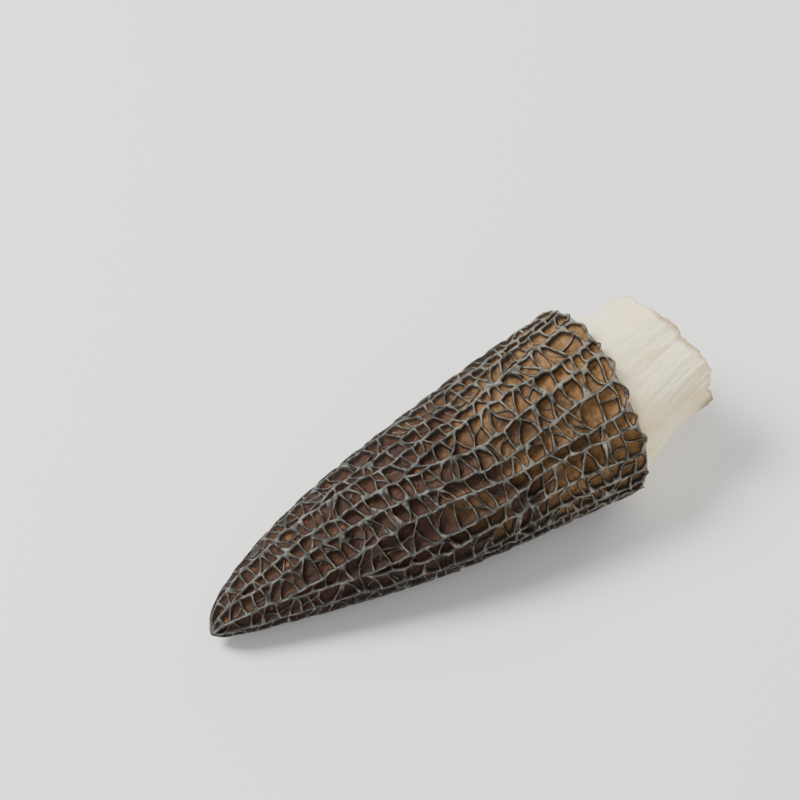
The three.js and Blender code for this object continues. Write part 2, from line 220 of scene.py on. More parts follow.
@dataclass
class Column:
    """A column of pits between two ridges, which meet at its end station."""

    end: float
    slow: float
    quick: float
    bulge: float


@dataclass(eq=False)
class Knot:
    """A point of the net, where its threads meet or bend."""

    index: int
    station: float
    angle: float
    drop: float
    kind: Kind
    ridge: int = -1


@dataclass
class Net:
    """The net of ridges and cross walls, made by the same rule as the solids' own."""

    form: Form
    seed: int = 4127
    columns: int = 24
    open_every: int = 8
    open_columns: tuple = (2, 4, 7)
    close_first: float = 0.035
    close_last: float = 0.64
    close_bias: float = 1.6
    close_scatter: int = 4
    opening_length: float = 0.2
    opening_blunt: float = 0.7
    twist: float = 0.16
    wanders: tuple = ((0.26, 8, "slow"), (0.06, 23, "quick"))
    cross_wall_drop: float = 0.7
    smallest_step: float = 3.5
    largest_step: float = 7
    step_share: float = 0.9
    step_spread: float = 0.5
    slant: float = 0.5
    bow: float = 0.3
    smallest_pit: float = 1.3
    junction_gap: float = 1.05
    clear_step: float = 0.55
    end_room: float = 0.75
    cross_wall_spread: tuple = (0.7, 0.6)
    fill_gap: float = 6
    tip_cell: float = 0.035
    rim_notch: float = 0.7
    rim_bulge: float = 1.5
    rim_drop: float = 0.3
    relax_rounds: int = 1
    relax_share: float = 0.14
    knots: list[Knot] = field(default_factory=list)
    cells: list[list[Knot]] = field(default_factory=list)
    threads: list[list[Knot]] = field(default_factory=list)
    rim: list[Knot] = field(default_factory=list)

    def __post_init__(self) -> None:
        """Makes the columns, the threads and the cells."""
        self._found: dict[tuple[int, str], Knot] = {}
        self._random = repeatable(self.seed)
        self._mm = 1 / self.form.length
        self._make_columns()
        self._apex = self._add(0, 0, 0, Kind.APEX)
        self._make_rim()
        self._make_walls()
        self._fill_ridges()
        self._make_cells()
        self._relax()

    def _make_columns(self) -> None:
        """Settles where each column ends."""
        closing = self.columns - len(self.open_columns) * self.columns // self.open_every
        order = 0
        self._columns: list[Column] = []
        for index in range(self.columns):
            end = 0.0
            if index % self.open_every not in self.open_columns:
                place = ((order * self.close_scatter) % closing + 0.5) / closing
                end = self.close_first + (self.close_last - self.close_first) * place ** self.close_bias
                order += 1
            slow, quick = self._random() * TURN, self._random() * TURN
            self._columns.append(Column(end, slow, quick, self.rim_bulge * self._random()))

    def _add(self, station: float, angle: float, drop: float, kind: Kind, ridge: int = -1) -> Knot:
        """Adds a knot."""
        self.knots.append(Knot(len(self.knots), station, angle, drop, kind, ridge))
        return self.knots[-1]

    def _opening(self, index: int, station: float) -> float:
        """Tells how far a column has opened at a station, 0 to 1."""
        end = self._columns[index].end
        if end == 0:
            return 1.0
        return min(1.0, max(0.0, (station - end) / self.opening_length)) ** self.opening_blunt

    def _ridge_angle(self, ridge: int, station: float) -> float:
        """Gives the angle of a ridge at a station.

        Args:
            ridge: The ridge's number. Ridge n is the first side of column n.
            station: Place along the cap.

        Returns:
            The angle, in radians.
        """
        widths = [self._opening(index, station) for index in range(self.columns)]
        total = sum(widths)
        passed = place = drift = 0.0
        for index, width in enumerate(widths):
            drift += (passed / total - index / self.columns) / self.columns
            if index == ridge:
                place = passed
            passed += width
        if ridge == self.columns:
            place = total
        own = ridge % self.columns
        room = min(widths[own], widths[(own - 1) % self.columns])
        for share, waves, phase in self.wanders:
            place += room * share * math.sin(waves * station + getattr(self._columns[own], phase))
        return self.twist * math.sin(2.4 * station) + TURN * (place / total - drift)

    def _shared(self, ridge: int, station: float) -> int:
        """Gives the lowest number of the ridges that have met at a station."""
        shared = ridge % self.columns
        while shared > 0 and self._opening(shared - 1, station) == 0:
            shared -= 1
        return shared

    def _ridge_knot(self, ridge: int, station: float) -> Knot:
        """Gives the knot on a ridge at a station, made once."""
        shared = self._shared(ridge, station)
        key = (shared, f"{station:.6f}")
        if key not in self._found:
            angle = self._ridge_angle(shared, station)
            self._found[key] = self._add(station, angle, 0, Kind.RIDGE, shared)
        return self._found[key]

    def _clear(self, ridge: int, station: float) -> float:
        """Moves a junction along its ridge until it is clear of the others."""
        gap = self.junction_gap * self._mm
        for tries in range(9):
            side = 1 if tries % 2 else -1
            moved = station + side * math.ceil(tries / 2) * self.clear_step * gap
            shared = self._shared(ridge, moved)
            if not any(k.ridge == shared and abs(k.station - moved) < gap for k in self.knots):
                return moved
        return station

    def _middle(self, index: int, station: float) -> float:
        """Gives the angle of the middle of a column."""
        return (self._ridge_angle(index, station) + self._ridge_angle(index + 1, station)) / 2

    def _make_rim(self) -> None:
        """Makes the rim, where every column is open."""
        self._corners: list[Knot] = []
        self._bulges: list[Knot] = []
        for index, column in enumerate(self._columns):
            corner = self._ridge_knot(index, 1 - self.rim_notch * self._mm * self._random())
            corner.kind = Kind.RIM
            angle = self._middle(index, 1)
            bulge = self._add(1 + column.bulge * self._mm, angle, self.rim_drop * self._random(), Kind.RIM)
            self._corners.append(corner)
            self._bulges.append(bulge)
            self.rim += [corner, bulge]
        for index, column in enumerate(self._columns):
            if column.end > 0:
                self._ridge_knot(index, column.end)

    def _make_walls(self) -> None:
        """Makes the cross walls of every column, from the rim towards the tip."""
        self._walls: list[list[tuple[Knot, Knot, Knot]]] = []
        for index, column in enumerate(self._columns):
            made: list[tuple[Knot, Knot, Knot]] = []
            last = column.end if column.end > 0 else self.tip_cell
            station = 1.0
            while True:
                wide = self._ridge_angle(index + 1, station) - self._ridge_angle(index, station)
                width = wide * self.form.radius(station)
                share = self.step_share + self.step_spread * self._random()
                step = min(self.largest_step, max(self.smallest_step, width * share))
                station -= step * self._mm
                if station < last + self.end_room * step * self._mm:
                    break
                slant = (self._random() - 0.5) * self.slant * width * self._mm
                bow = (self._random() - 0.5) * self.bow * width * self._mm
                first = self._clear(index, station + slant)
                second = self._clear(index + 1, station - slant)
                if made:
                    above = (made[-1][0], made[-1][2])
                else:
                    above = (self._corners[index], self._corners[(index + 1) % self.columns])
                room = min(above[0].station - first, above[1].station - second, first - last, second - last)
                if room < self.smallest_pit * self._mm:
                    continue
                start = self._ridge_knot(index, first)
                end = self._ridge_knot(index + 1, second)
                between = (first + second) / 2 + bow
                least, spread = self.cross_wall_spread
                drop = self.cross_wall_drop * (least + spread * self._random())
                middle = self._add(between, self._middle(index, between), drop, Kind.WALL)
                made.append((start, middle, end))
            self._walls.append(made)

    def _on_ridge(self, ridge: int, low: float, high: float) -> list[Knot]:
        """Lists the knots on a ridge between two stations, from the tip on."""
        chosen = [k for k in self.knots if low - 1e-9 <= k.station <= high + 1e-9
                  and (k is self._apex or (k.ridge >= 0 and k.ridge == self._shared(ridge, k.station)))]
        return sorted(chosen, key=lambda k: k.station)

    def _fill_ridges(self) -> None:
        """Puts a knot into each long bare stretch of ridge."""
        for ridge in range(self.columns):
            line = self._on_ridge(ridge, 0, 2)
            for low, high in zip(line, line[1:]):
                if high.station - low.station > self.fill_gap * self._mm:
                    self._ridge_knot(ridge, (high.station + low.station) / 2)

    def _make_cells(self) -> None:
        """Lists each pit's loop of knots, and the threads that the loops are made of."""
        for index, column in enumerate(self._columns):
            after = (index + 1) % self.columns
            base = (self._corners[index], self._bulges[index], self._corners[after])
            for wall in [*self._walls[index], None]:
                low = (wall[0].station, wall[2].station) if wall else (column.end, column.end)
                first = self._on_ridge(index, low[0], base[0].station)[::-1]
                second = self._on_ridge(index + 1, low[1], base[2].station)
                loop = [*first, *([wall[1]] if wall else []), *second, base[1]]
                after_each = loop[1:] + loop[:1]
                self.cells.append([k for k, other in zip(loop, after_each) if k is not other])
                base = wall
        self.threads = [self._on_ridge(ridge, 0, 2) for ridge in range(self.columns)]
        self.threads += [list(wall) for made in self._walls for wall in made]

    def _relax(self) -> None:
        """Draws each knot towards its neighbours, as drying flesh does."""
        beside: list[dict[int, Knot]] = [{} for _ in self.knots]
        for loop in self.cells:
            for place, knot in enumerate(loop):
                after = loop[(place + 1) % len(loop)]
                beside[knot.index][after.index] = after
                beside[after.index][knot.index] = knot
        for _ in range(self.relax_rounds):
            moved = []
            for knot in self.knots:
                others = list(beside[knot.index].values())
                if knot.kind in (Kind.RIM, Kind.APEX) or not others:
                    moved.append((knot.station, knot.angle))
                    continue
                station = sum(o.station for o in others) / len(others)
                turned = [knot.angle if o.kind is Kind.APEX else near(o.angle, knot.angle) for o in others]
                angle = sum(turned) / len(others)
                moved.append((knot.station + self.relax_share * (station - knot.station),
                              knot.angle + self.relax_share * (angle - knot.angle)))
            for knot, (station, angle) in zip(self.knots, moved):
                knot.station, knot.angle = station, angle


@dataclass
class Weave:
    """The net's threads drawn finely: smooth, slightly wavy lines that neighbouring pits share."""

    net: Net
    spacing: float = 0.93
    rough_drop: float = 0.24
    wall_width: float = 0.66
    fine_width: float = 0.48
    fine_drop: tuple = (0.35, 0.6)
    whole_area: tuple = (10.5, 9.0)
    whole_share: tuple = (0.3, 0.7)
    divide_times: int = 2
    divide_tries: int = 6
    longer_by: float = 1.15
    cut_spread: float = 0.3
    cut_slant: float = 0.5
    smallest_share: float = 0.24
    fine_bow: float = 0.34
    arch_round: float = 1.35
    wave_height: float = 0.2
    narrow_fade: float = 1.6
    least_drop: float = 0.06
    width_swing: float = 0.11
    rim_from: float = 0.992
    seed: int = 61
    waviness: tuple = ((0.15, 4.4, 7), (0.08, 2.1, -19), (0.04, 1.1, 31))

    def __post_init__(self) -> None:
        """Draws every thread, the rim, and the finer walls that divide the larger pits."""
        self.station: list[float] = [k.station for k in self.net.knots]
        self.angle: list[float] = [k.angle for k in self.net.knots]
        self.drop: list[float] = [k.drop for k in self.net.knots]
        self.width: list[float] = [self.wall_width if k.kind is Kind.WALL else 1.0 for k in self.net.knots]
        self.lines: dict[tuple[int, int], list[int]] = {}
        for thread in self.net.threads:
            self._draw(thread, False)
        self._draw(self.net.rim, True)
        random = repeatable(self.seed)
        self.pits: list[list[int]] = []
        for cell in self.net.cells:
            self.pits += self._divide(self.loop(cell), random, self.divide_times)
        self._waver()

    def _divide(self, loop: list[int], random: Random, times: int) -> list[list[int]]:
        """Divides a large pit by a fine wall across its longer side.

        Args:
            loop: The drawn points round the pit.
            random: Gives the next random number.
            times: How often the pit may still be divided.

        Returns:
            The loops of the pits that it makes.
        """
        form = self.net.form
        station = np.array([self.station[i] for i in loop])
        size = float(form.swell(station.mean()))
        whole = self.whole_area[0] + self.whole_area[1] * random()
        whole *= self.whole_share[0] + self.whole_share[1] * size
        radius = form.radius(float(station.mean()))
        apex = station <= 1e-9
        first_angle = self.angle[loop[int(np.argmin(apex))]]
        angle = np.array([near(self.angle[i], first_angle) for i in loop])
        angle[apex] = angle[~apex].mean()
        flat = np.stack([station * form.length, angle * radius], -1)
        if times == 0 or area(*flat.T) < whole:
            return [loop]
        for _ in range(self.divide_tries):
            ends = self._cut(flat, random)
            if ends is not None:
                return self._wall_off(loop, flat, ends, radius, random, times)
        return [loop]

    def _cut(self, flat: np.ndarray, random: Random) -> tuple[int, int] | None:
        """Chooses the two points of a pit's loop between which a fine wall runs.

        Args:
            flat: The loop, laid flat.
            random: Gives the next random number.

        Returns:
            Their places in the loop, or nothing where the wall would leave a sliver.
        """
        across = int(np.ptp(flat[:, 1]) > self.longer_by * np.ptp(flat[:, 0]))
        long, short = flat[:, across], flat[:, 1 - across]
        target = long.min() + np.ptp(long) * (0.5 + self.cut_spread * (random() - 0.5))
        slant = (random() - 0.5) * self.cut_slant * np.ptp(short)
        middle = (short.min() + short.max()) / 2
        low = int(np.argmin(np.abs(long - target + slant) + 99 * (short > middle)))
        high = int(np.argmin(np.abs(long - target - slant) + 99 * (short <= middle)))
        first, second = min(low, high), max(low, high)
        one, other = np.arange(first, second + 1), np.r_[second:len(flat), 0:first + 1]
        smaller = min(area(*flat[one].T), area(*flat[other].T))
        if smaller < self.smallest_share * area(*flat.T):
            return None
        return first, second

    def _wall_off(self, loop: list[int], flat: np.ndarray, ends: tuple[int, int], radius: float,
                  random: Random, times: int) -> list[list[int]]:
        """Draws a fine wall between two points of a pit's loop.

        Args:
            loop: The drawn points round the pit.
            flat: The same points, laid flat.
            ends: The places in the loop of the wall's ends.
            radius: The cap's radius at the pit.
            random: Gives the next random number.
            times: How often the pit may still be divided.

        Returns:
            The loops of the pits that it makes.
        """
        first, second = ends
        line = flat[second] - flat[first]
        length = float(np.hypot(*line))
        steps = max(3, round(length / self.spacing))
        sag = self.fine_drop[0] + self.fine_drop[1] * random()
        bow = (random() - 0.5) * self.fine_bow
        drawn = []
        for step in range(1, steps):
            t = step / steps
            arch = 4 * t * (1 - t)
            place = flat[first] + line * t + bow * arch * np.array([-line[1], line[0]])
            level = self.drop[loop[first]] * (1 - t) + self.drop[loop[second]] * t
            self.station.append(place[0] / self.net.form.length)
            self.angle.append(place[1] / radius)
            self.drop.append(level + sag * min(1.0, arch * self.arch_round))
            self.width.append(self.fine_width)
            drawn.append(len(self.station) - 1)
        halves = [loop[first:second + 1] + drawn[::-1], loop[second:] + loop[:first + 1] + drawn]
        return [part for half in halves for part in self._divide(half, random, times - 1)]

    def _draw(self, thread: list[Knot], closed: bool) -> None:
        """Draws one thread through its knots.

        Args:
            thread: The knots in order.
            closed: Whether the last knot leads back to the first.
        """
        count = len(thread)
        for place in range(count if closed else count - 1):
            start, end = thread[place], thread[(place + 1) % count]
            key = (min(start.index, end.index), max(start.index, end.index))
            if key in self.lines:
                continue
            before = thread[place - 1] if place or closed else None
            beyond = thread[(place + 2) % count] if closed or place + 2 < count else None
            self.lines[key] = self._curve(before, start, end, beyond, start.index > end.index)
            slim = any(k.kind is Kind.WALL for k in thread)
            self.width += [self.wall_width if slim else 1.0] * len(self.lines[key])

    def _curve(self, before: Knot | None, start: Knot, end: Knot, beyond: Knot | None,
               turned: bool) -> list[int]:
        """Draws the line between two knots so that it flows on from its neighbours.

        Args:
            before: The knot before the start, if there is one.
            start: Where the line starts.
            end: Where it ends.
            beyond: The knot after the end, if there is one.
            turned: Whether the line is kept end first.

        Returns:
            The numbers of the line's inner points.
        """
        form = self.net.form
        radius = max(0.5, form.radius((start.station + end.station) / 2))
        base = end.angle if start.kind is Kind.APEX else start.angle

        def flat(knot: Knot) -> np.ndarray:
            """Lays a knot flat."""
            angle = base if knot.kind is Kind.APEX else near(knot.angle, base)
            return np.array([knot.station * form.length, angle * radius])

        a, b = flat(start), flat(end)
        length = float(np.linalg.norm(b - a)) or 1e-6
        lead, follow = b - a, b - a
        if before is not None and before.kind is not Kind.APEX:
            p = flat(before)
            gap = float(np.linalg.norm(a - p)) or 1e-6
            lead = ((a - p) / gap * length + (b - a) / length * gap) / (gap + length) * length
        if beyond is not None and end.kind is not Kind.APEX:
            q = flat(beyond)
            gap = float(np.linalg.norm(q - b)) or 1e-6
            follow = ((q - b) / gap * length + (b - a) / length * gap) / (gap + length) * length
        steps = max(2, round(length / self.spacing))
        made = []
        for step in range(1, steps):
            t = step / steps
            place = ((2 * t ** 3 - 3 * t ** 2 + 1) * a + (t ** 3 - 2 * t ** 2 + t) * lead
                     + (3 * t ** 2 - 2 * t ** 3) * b + (t ** 3 - t ** 2) * follow)
            ease = math.sin(t * math.pi / 2) if end.drop > start.drop else 1 - math.cos(t * math.pi / 2)
            self.station.append(place[0] / form.length)
            self.angle.append(place[1] / radius)
            self.drop.append(start.drop + (end.drop - start.drop) * ease)
            made.append(len(self.station) - 1)
        return made[::-1] if turned else made

    def _waver(self) -> None:
        """Makes the drawn lines slightly wavy, and their crests uneven."""
        form = self.net.form
        station, angle, drop = (np.array(v) for v in (self.station, self.angle, self.drop))
        size = form.swell(station)
        shift_x, shift_y, lift = (np.zeros_like(station) for _ in range(3))
        for size_mm, wave, turns in self.waviness:
            phase = station * form.length * TURN / wave
            shift_x += size_mm * np.sin(phase * 0.9 + turns * angle + 1.3)
            shift_y += size_mm * np.sin(phase - (turns + 2) * angle + 4.1)
            lift += size_mm * np.sin(phase * 0.7 + (turns + 5) * angle + 2.2)
        narrow = np.minimum(1, size * self.narrow_fade)
        fade = narrow * (station < self.rim_from)
        radius = np.maximum(2.0, size * (form.half_width + form.half_height) / 2)
        self.station = station + fade * shift_x / form.length
        self.angle = angle + fade * shift_y / radius
        rough = self.rough_drop * lift / self.wave_height * narrow
        self.drop = np.maximum(0, drop + rough + self.least_drop)
        self.drop[self.net.knots[0].index] = 0
        swing = np.sin(station * form.length * 0.86 + 11 * angle)
        swing += np.sin(station * form.length * 2.1 - 5 * angle)
        self.width = np.array(self.width) * (1 + self.width_swing * swing)

    def loop(self, cell: list[Knot]) -> list[int]:
        """Lists the drawn points round a pit."""
        out: list[int] = []
        for place, knot in enumerate(cell):
            after = cell[(place + 1) % len(cell)]
            line = self.lines[(min(knot.index, after.index), max(knot.index, after.index))]
            out += [knot.index, *(line if knot.index < after.index else line[::-1])]
        return out


class Pit:
    """A pit laid flat, in millimetres along the cap and round it."""

    def __init__(self, form: Form, station: np.ndarray, angle: np.ndarray) -> None:
        """Lays the pit's loop flat and finds its deepest place.

        Args:
            form: The cap's form.
            station: Stations of the loop's points. The apex is the one at 0.
            angle: Their angles.
        """
        apex = station <= 1e-9
        first = angle[~apex][0]
        turned = angle + TURN * np.round((first - angle) / TURN)
        mean = turned[~apex].mean()
        turned[apex] = mean
        self.form = form
        self.radius = max(0.4, form.radius(float(station[~apex].mean())))
        self.flat = np.stack([station * form.length, turned * self.radius], -1)
        self.centre, self.reach = self._deepest()

    def distance(self, places: np.ndarray) -> np.ndarray:
        """Gives the distance of places from the loop.

        Args:
            places: Flat places, one a row.

        Returns:
            A distance for each, below 0 outside the loop.
        """
        a, b = self.flat, np.roll(self.flat, -1, 0)
        side = b - a
        apart = places[:, None, :] - a[None]
        share = (apart * side).sum(-1) / np.maximum((side * side).sum(-1), 1e-12)
        off = apart - np.clip(share, 0, 1)[..., None] * side
        least = np.sqrt((off * off).sum(-1).min(1))
        spans = (a[None, :, 1] > places[:, None, 1]) != (b[None, :, 1] > places[:, None, 1])
        tall = np.where(np.abs(side[:, 1]) < 1e-12, 1e-12, side[:, 1])
        crossing = a[None, :, 0] + (places[:, None, 1] - a[None, :, 1]) * side[None, :, 0] / tall
        inside = (spans & (places[:, None, 0] < crossing)).sum(1) % 2 == 1
        return np.where(inside, least, -least)

    def _deepest(self) -> tuple[np.ndarray, float]:
        """Finds the place furthest from the loop.

        Returns:
            The place, and how far from the loop it is.
        """
        low, high = self.flat.min(0), self.flat.max(0)
        for _ in range(3):
            x, y = np.meshgrid(np.linspace(low[0], high[0], 15), np.linspace(low[1], high[1], 15))
            places = np.stack([x.ravel(), y.ravel()], -1)
            found = self.distance(places)
            best = places[int(found.argmax())]
            reach = float(found.max())
            low, high = best - (high - low) / 10, best + (high - low) / 10
        return best, max(reach, 0.05)

    def inset(self, amount: np.ndarray) -> np.ndarray:
        """Draws each point of the loop towards the deepest place.

        Args:
            amount: How far from the loop each point ends, in millimetres.

        Returns:
            The points' flat places.
        """
        low, high = np.zeros(len(self.flat)), np.ones(len(self.flat))
        for _ in range(11):
            share = (low + high) / 2
            places = self.flat + share[:, None] * (self.centre - self.flat)
            short = self.distance(places) < amount
            low, high = np.where(short, share, low), np.where(short, high, share)
        return self.flat + low[:, None] * (self.centre - self.flat)


@dataclass(frozen=True)
class Ring:
    """One ring of a pit's wall: how far in and how far down it lies, and how it is tinted."""

    inset: float
    sink: float
    lip: float
    pit: float


@dataclass
class Cap:
    """The honeycombed cap: pits between ridges with rounded lips, round one hollow."""

    form: Form
    weave: Weave
    offset: np.ndarray
    pit_depth: float = 2.4
    tip_depth: float = 0.5
    narrow_depth: float = 1.35
    depth_spread: tuple = (0.88, 0.22)
    inset_limit: tuple = (0.13, 0.62)
    lip_rings: int = 4
    slim_inset: float = 0.4
    slim_lip: tuple = (0.55, 0.5)
    floor_bump: float = 0.14
    floor_waves: tuple = (3.1, 2.7)
    deepest_crest: float = 0.7
    swelling: tuple = (0.25, 0.4)
    skin_below_crest: float = 2.6
    flesh: float = 1.4
    joint_gap: float = 0.3
    joint_shift: tuple = (-0.9, -0.4)
    hollow_tip: float = 0.15
    hollow_steps: int = 6
    rings: tuple = (
        Ring(0.14, 0.025, 0.86, 0.0), Ring(0.25, 0.09, 0.62, 0.0), Ring(0.32, 0.2, 0.3, 0.0),
        Ring(0.33, 0.36, 0.04, 0.05), Ring(0.44, 0.68, 0.0, 0.3), Ring(0.8, 0.91, 0.0, 0.75),
        Ring(1.5, 1.0, 0.0, 1.0),
    )

    def build(self, finish: bpy.types.Material) -> bpy.types.Object:
        """Builds the cap as one closed mesh.

        Args:
            finish: Its material.

        Returns:
            The cap, in metres, in the row's frame.
        """
        weave = self.weave
        places = [self.form.point(weave.station, weave.angle, weave.drop)]
        count = len(weave.station)
        lips = [np.ones(count)]
        pits = [np.zeros(count)]
        alongs = [np.asarray(weave.station)]
        tones = [np.full(count, 0.5)]
        faces: list[Face] = []
        random = repeatable(self.weave.net.seed + 9)
        for drawn in weave.pits:
            loop = np.array(drawn)
            pit = Pit(self.form, weave.station[loop], weave.angle[loop])
            drop, width = weave.drop[loop], weave.width[loop]
            width = (np.roll(width, 1) + 2 * width + np.roll(width, -1)) / 4
            size = float(self.form.swell(pit.centre[0] / self.form.length))
            depth = self.pit_depth * (self.tip_depth + (1 - self.tip_depth) * size)
            depth = min(depth, self.narrow_depth * pit.reach)
            depth *= self.depth_spread[0] + self.depth_spread[1] * random()
            tone = random()
            last = loop
            for number, ring in enumerate(self.rings):
                passed = number / (len(self.rings) - 1)
                limit = pit.reach * (self.inset_limit[0] + self.inset_limit[1] * passed)
                slim = 0.0 if number < self.lip_rings else self.slim_inset
                reach = ring.inset * (slim + (1 - slim) * width)
                flat = pit.inset(np.minimum(reach, limit))
                along = np.sin(flat[:, 0] * self.floor_waves[0] + 2 * tone)
                around = np.sin(flat[:, 1] * self.floor_waves[1] + 9 * tone)
                bump = self.floor_bump * ring.pit * along * around
                crest = np.minimum(drop, self.deepest_crest * depth)
                sink = crest * (1 - ring.sink) + (depth + bump) * ring.sink
                where = self.form.point(flat[:, 0] / self.form.length, flat[:, 1] / pit.radius, sink)
                fresh = np.arange(count, count + len(loop))
                count += len(loop)
                places.append(where)
                lips.append(ring.lip * np.clip(self.slim_lip[0] + self.slim_lip[1] * width, 0, 1))
                pits.append(np.full(len(loop), ring.pit))
                alongs.append(flat[:, 0] / self.form.length)
                tones.append(np.full(len(loop), tone))
                self._stitch(faces, last, fresh)
                last = fresh
            swollen = depth - self.swelling[0] * (random() - self.swelling[1]) * pit.reach
            centre = np.array([pit.centre[0] / self.form.length]), np.array([pit.centre[1] / pit.radius])
            places.append(self.form.point(*centre, np.array([swollen])))
            lips.append(np.zeros(1))
            pits.append(np.ones(1))
            alongs.append(centre[0])
            tones.append(np.full(1, tone))
            faces += [(int(a), int(b), count) for a, b in zip(last, np.roll(last, -1))]
            count += 1
        inner = self._inside()
        last = np.array(weave.loop(weave.net.rim))
        angles = np.asarray(weave.angle)[last]
        for number, ring_at in enumerate(inner):
            where = ring_at(angles)
            fresh = np.arange(count, count + len(last))
            count += len(last)
            places.append(where)
            lips.append(np.full(len(last), 0.6 if number == 0 else 0.0))
            pits.append(np.full(len(last), min(1.0, 0.3 * number)))
            alongs.append(np.full(len(last), 0.97))
            tones.append(np.full(len(last), 0.5))
            self._stitch(faces, last, fresh)
            last = fresh
        end = self.form.section(self.hollow_tip - 0.02, 0.0, 0.0)
        end[1] = float(self.form.axis(self.hollow_tip))
        rise = self.form.tip_rise * (1 - self.hollow_tip) ** self.form.tip_rise_fade
        end[2] = self.form.half_height * float(self.form.swell(self.hollow_tip)) - 0.45 + rise
        places.append(end[None])
        for layer, value in ((lips, 0.0), (pits, 1.0), (alongs, 0.9), (tones, 0.5)):
            layer.append(np.full(1, value))
        faces += [(int(a), int(b), count) for a, b in zip(last, np.roll(last, -1))]
        cap = make_piece("cap_skin", np.concatenate(places) + self.offset, faces, finish)
        layers = {Layer.LIP: lips, Layer.PIT: pits, Layer.ALONG: alongs, Layer.TONE: tones}
        for layer, values in layers.items():
            tint(cap, layer, np.concatenate(values))
        return cap

    def _stitch(self, faces: list[Face], ring: np.ndarray, after: np.ndarray) -> None:
        """Joins two rings of as many points."""
        for a, b, c, d in zip(ring, np.roll(ring, -1), np.roll(after, -1), after):
            faces.append((int(a), int(b), int(c), int(d)))

    def _joint(self, angle: np.ndarray, inset: float, x: float) -> np.ndarray:
        """Gives a ring where the stem meets the cap."""
        place = self.form.section(1.0, angle, self.skin_below_crest + inset)
        place[..., 0] = x
        place[..., 1] += self.joint_shift[0]
        place[..., 2] += self.joint_shift[1]
        return place

    def _inside(self) -> list[RingMaker]:
        """Lists the rings from the rim's crest round to the end of the hollow.

        Returns:
            A function for each ring, which gives its points from their angles.
        """
        def hollow(share: float) -> RingMaker:
            """Gives a ring of the hollow."""
            station = 1 - (1 - self.hollow_tip) * share
            fade = max(0.0, 1 - 3 * share)

            def ring(angle: np.ndarray) -> np.ndarray:
                """Places the ring."""
                place = self.form.section(station, angle, self.skin_below_crest + self.flesh)
                return place + np.array([0, self.joint_shift[0] * fade, self.joint_shift[1] * fade])
            return ring
        rings = [
            lambda angle: self.form.point(np.full_like(angle, 1.004), angle, np.full_like(angle, 0.45)),
            lambda angle: self.form.point(np.full_like(angle, 1.001), angle, np.full_like(angle, 1.3)),
            lambda angle: self._joint(angle, -0.1, -self.joint_gap),
            lambda angle: self._joint(angle, self.flesh, -self.joint_gap),
        ]
        return rings + [hollow((step + 1) / self.hollow_steps) for step in range(self.hollow_steps)]


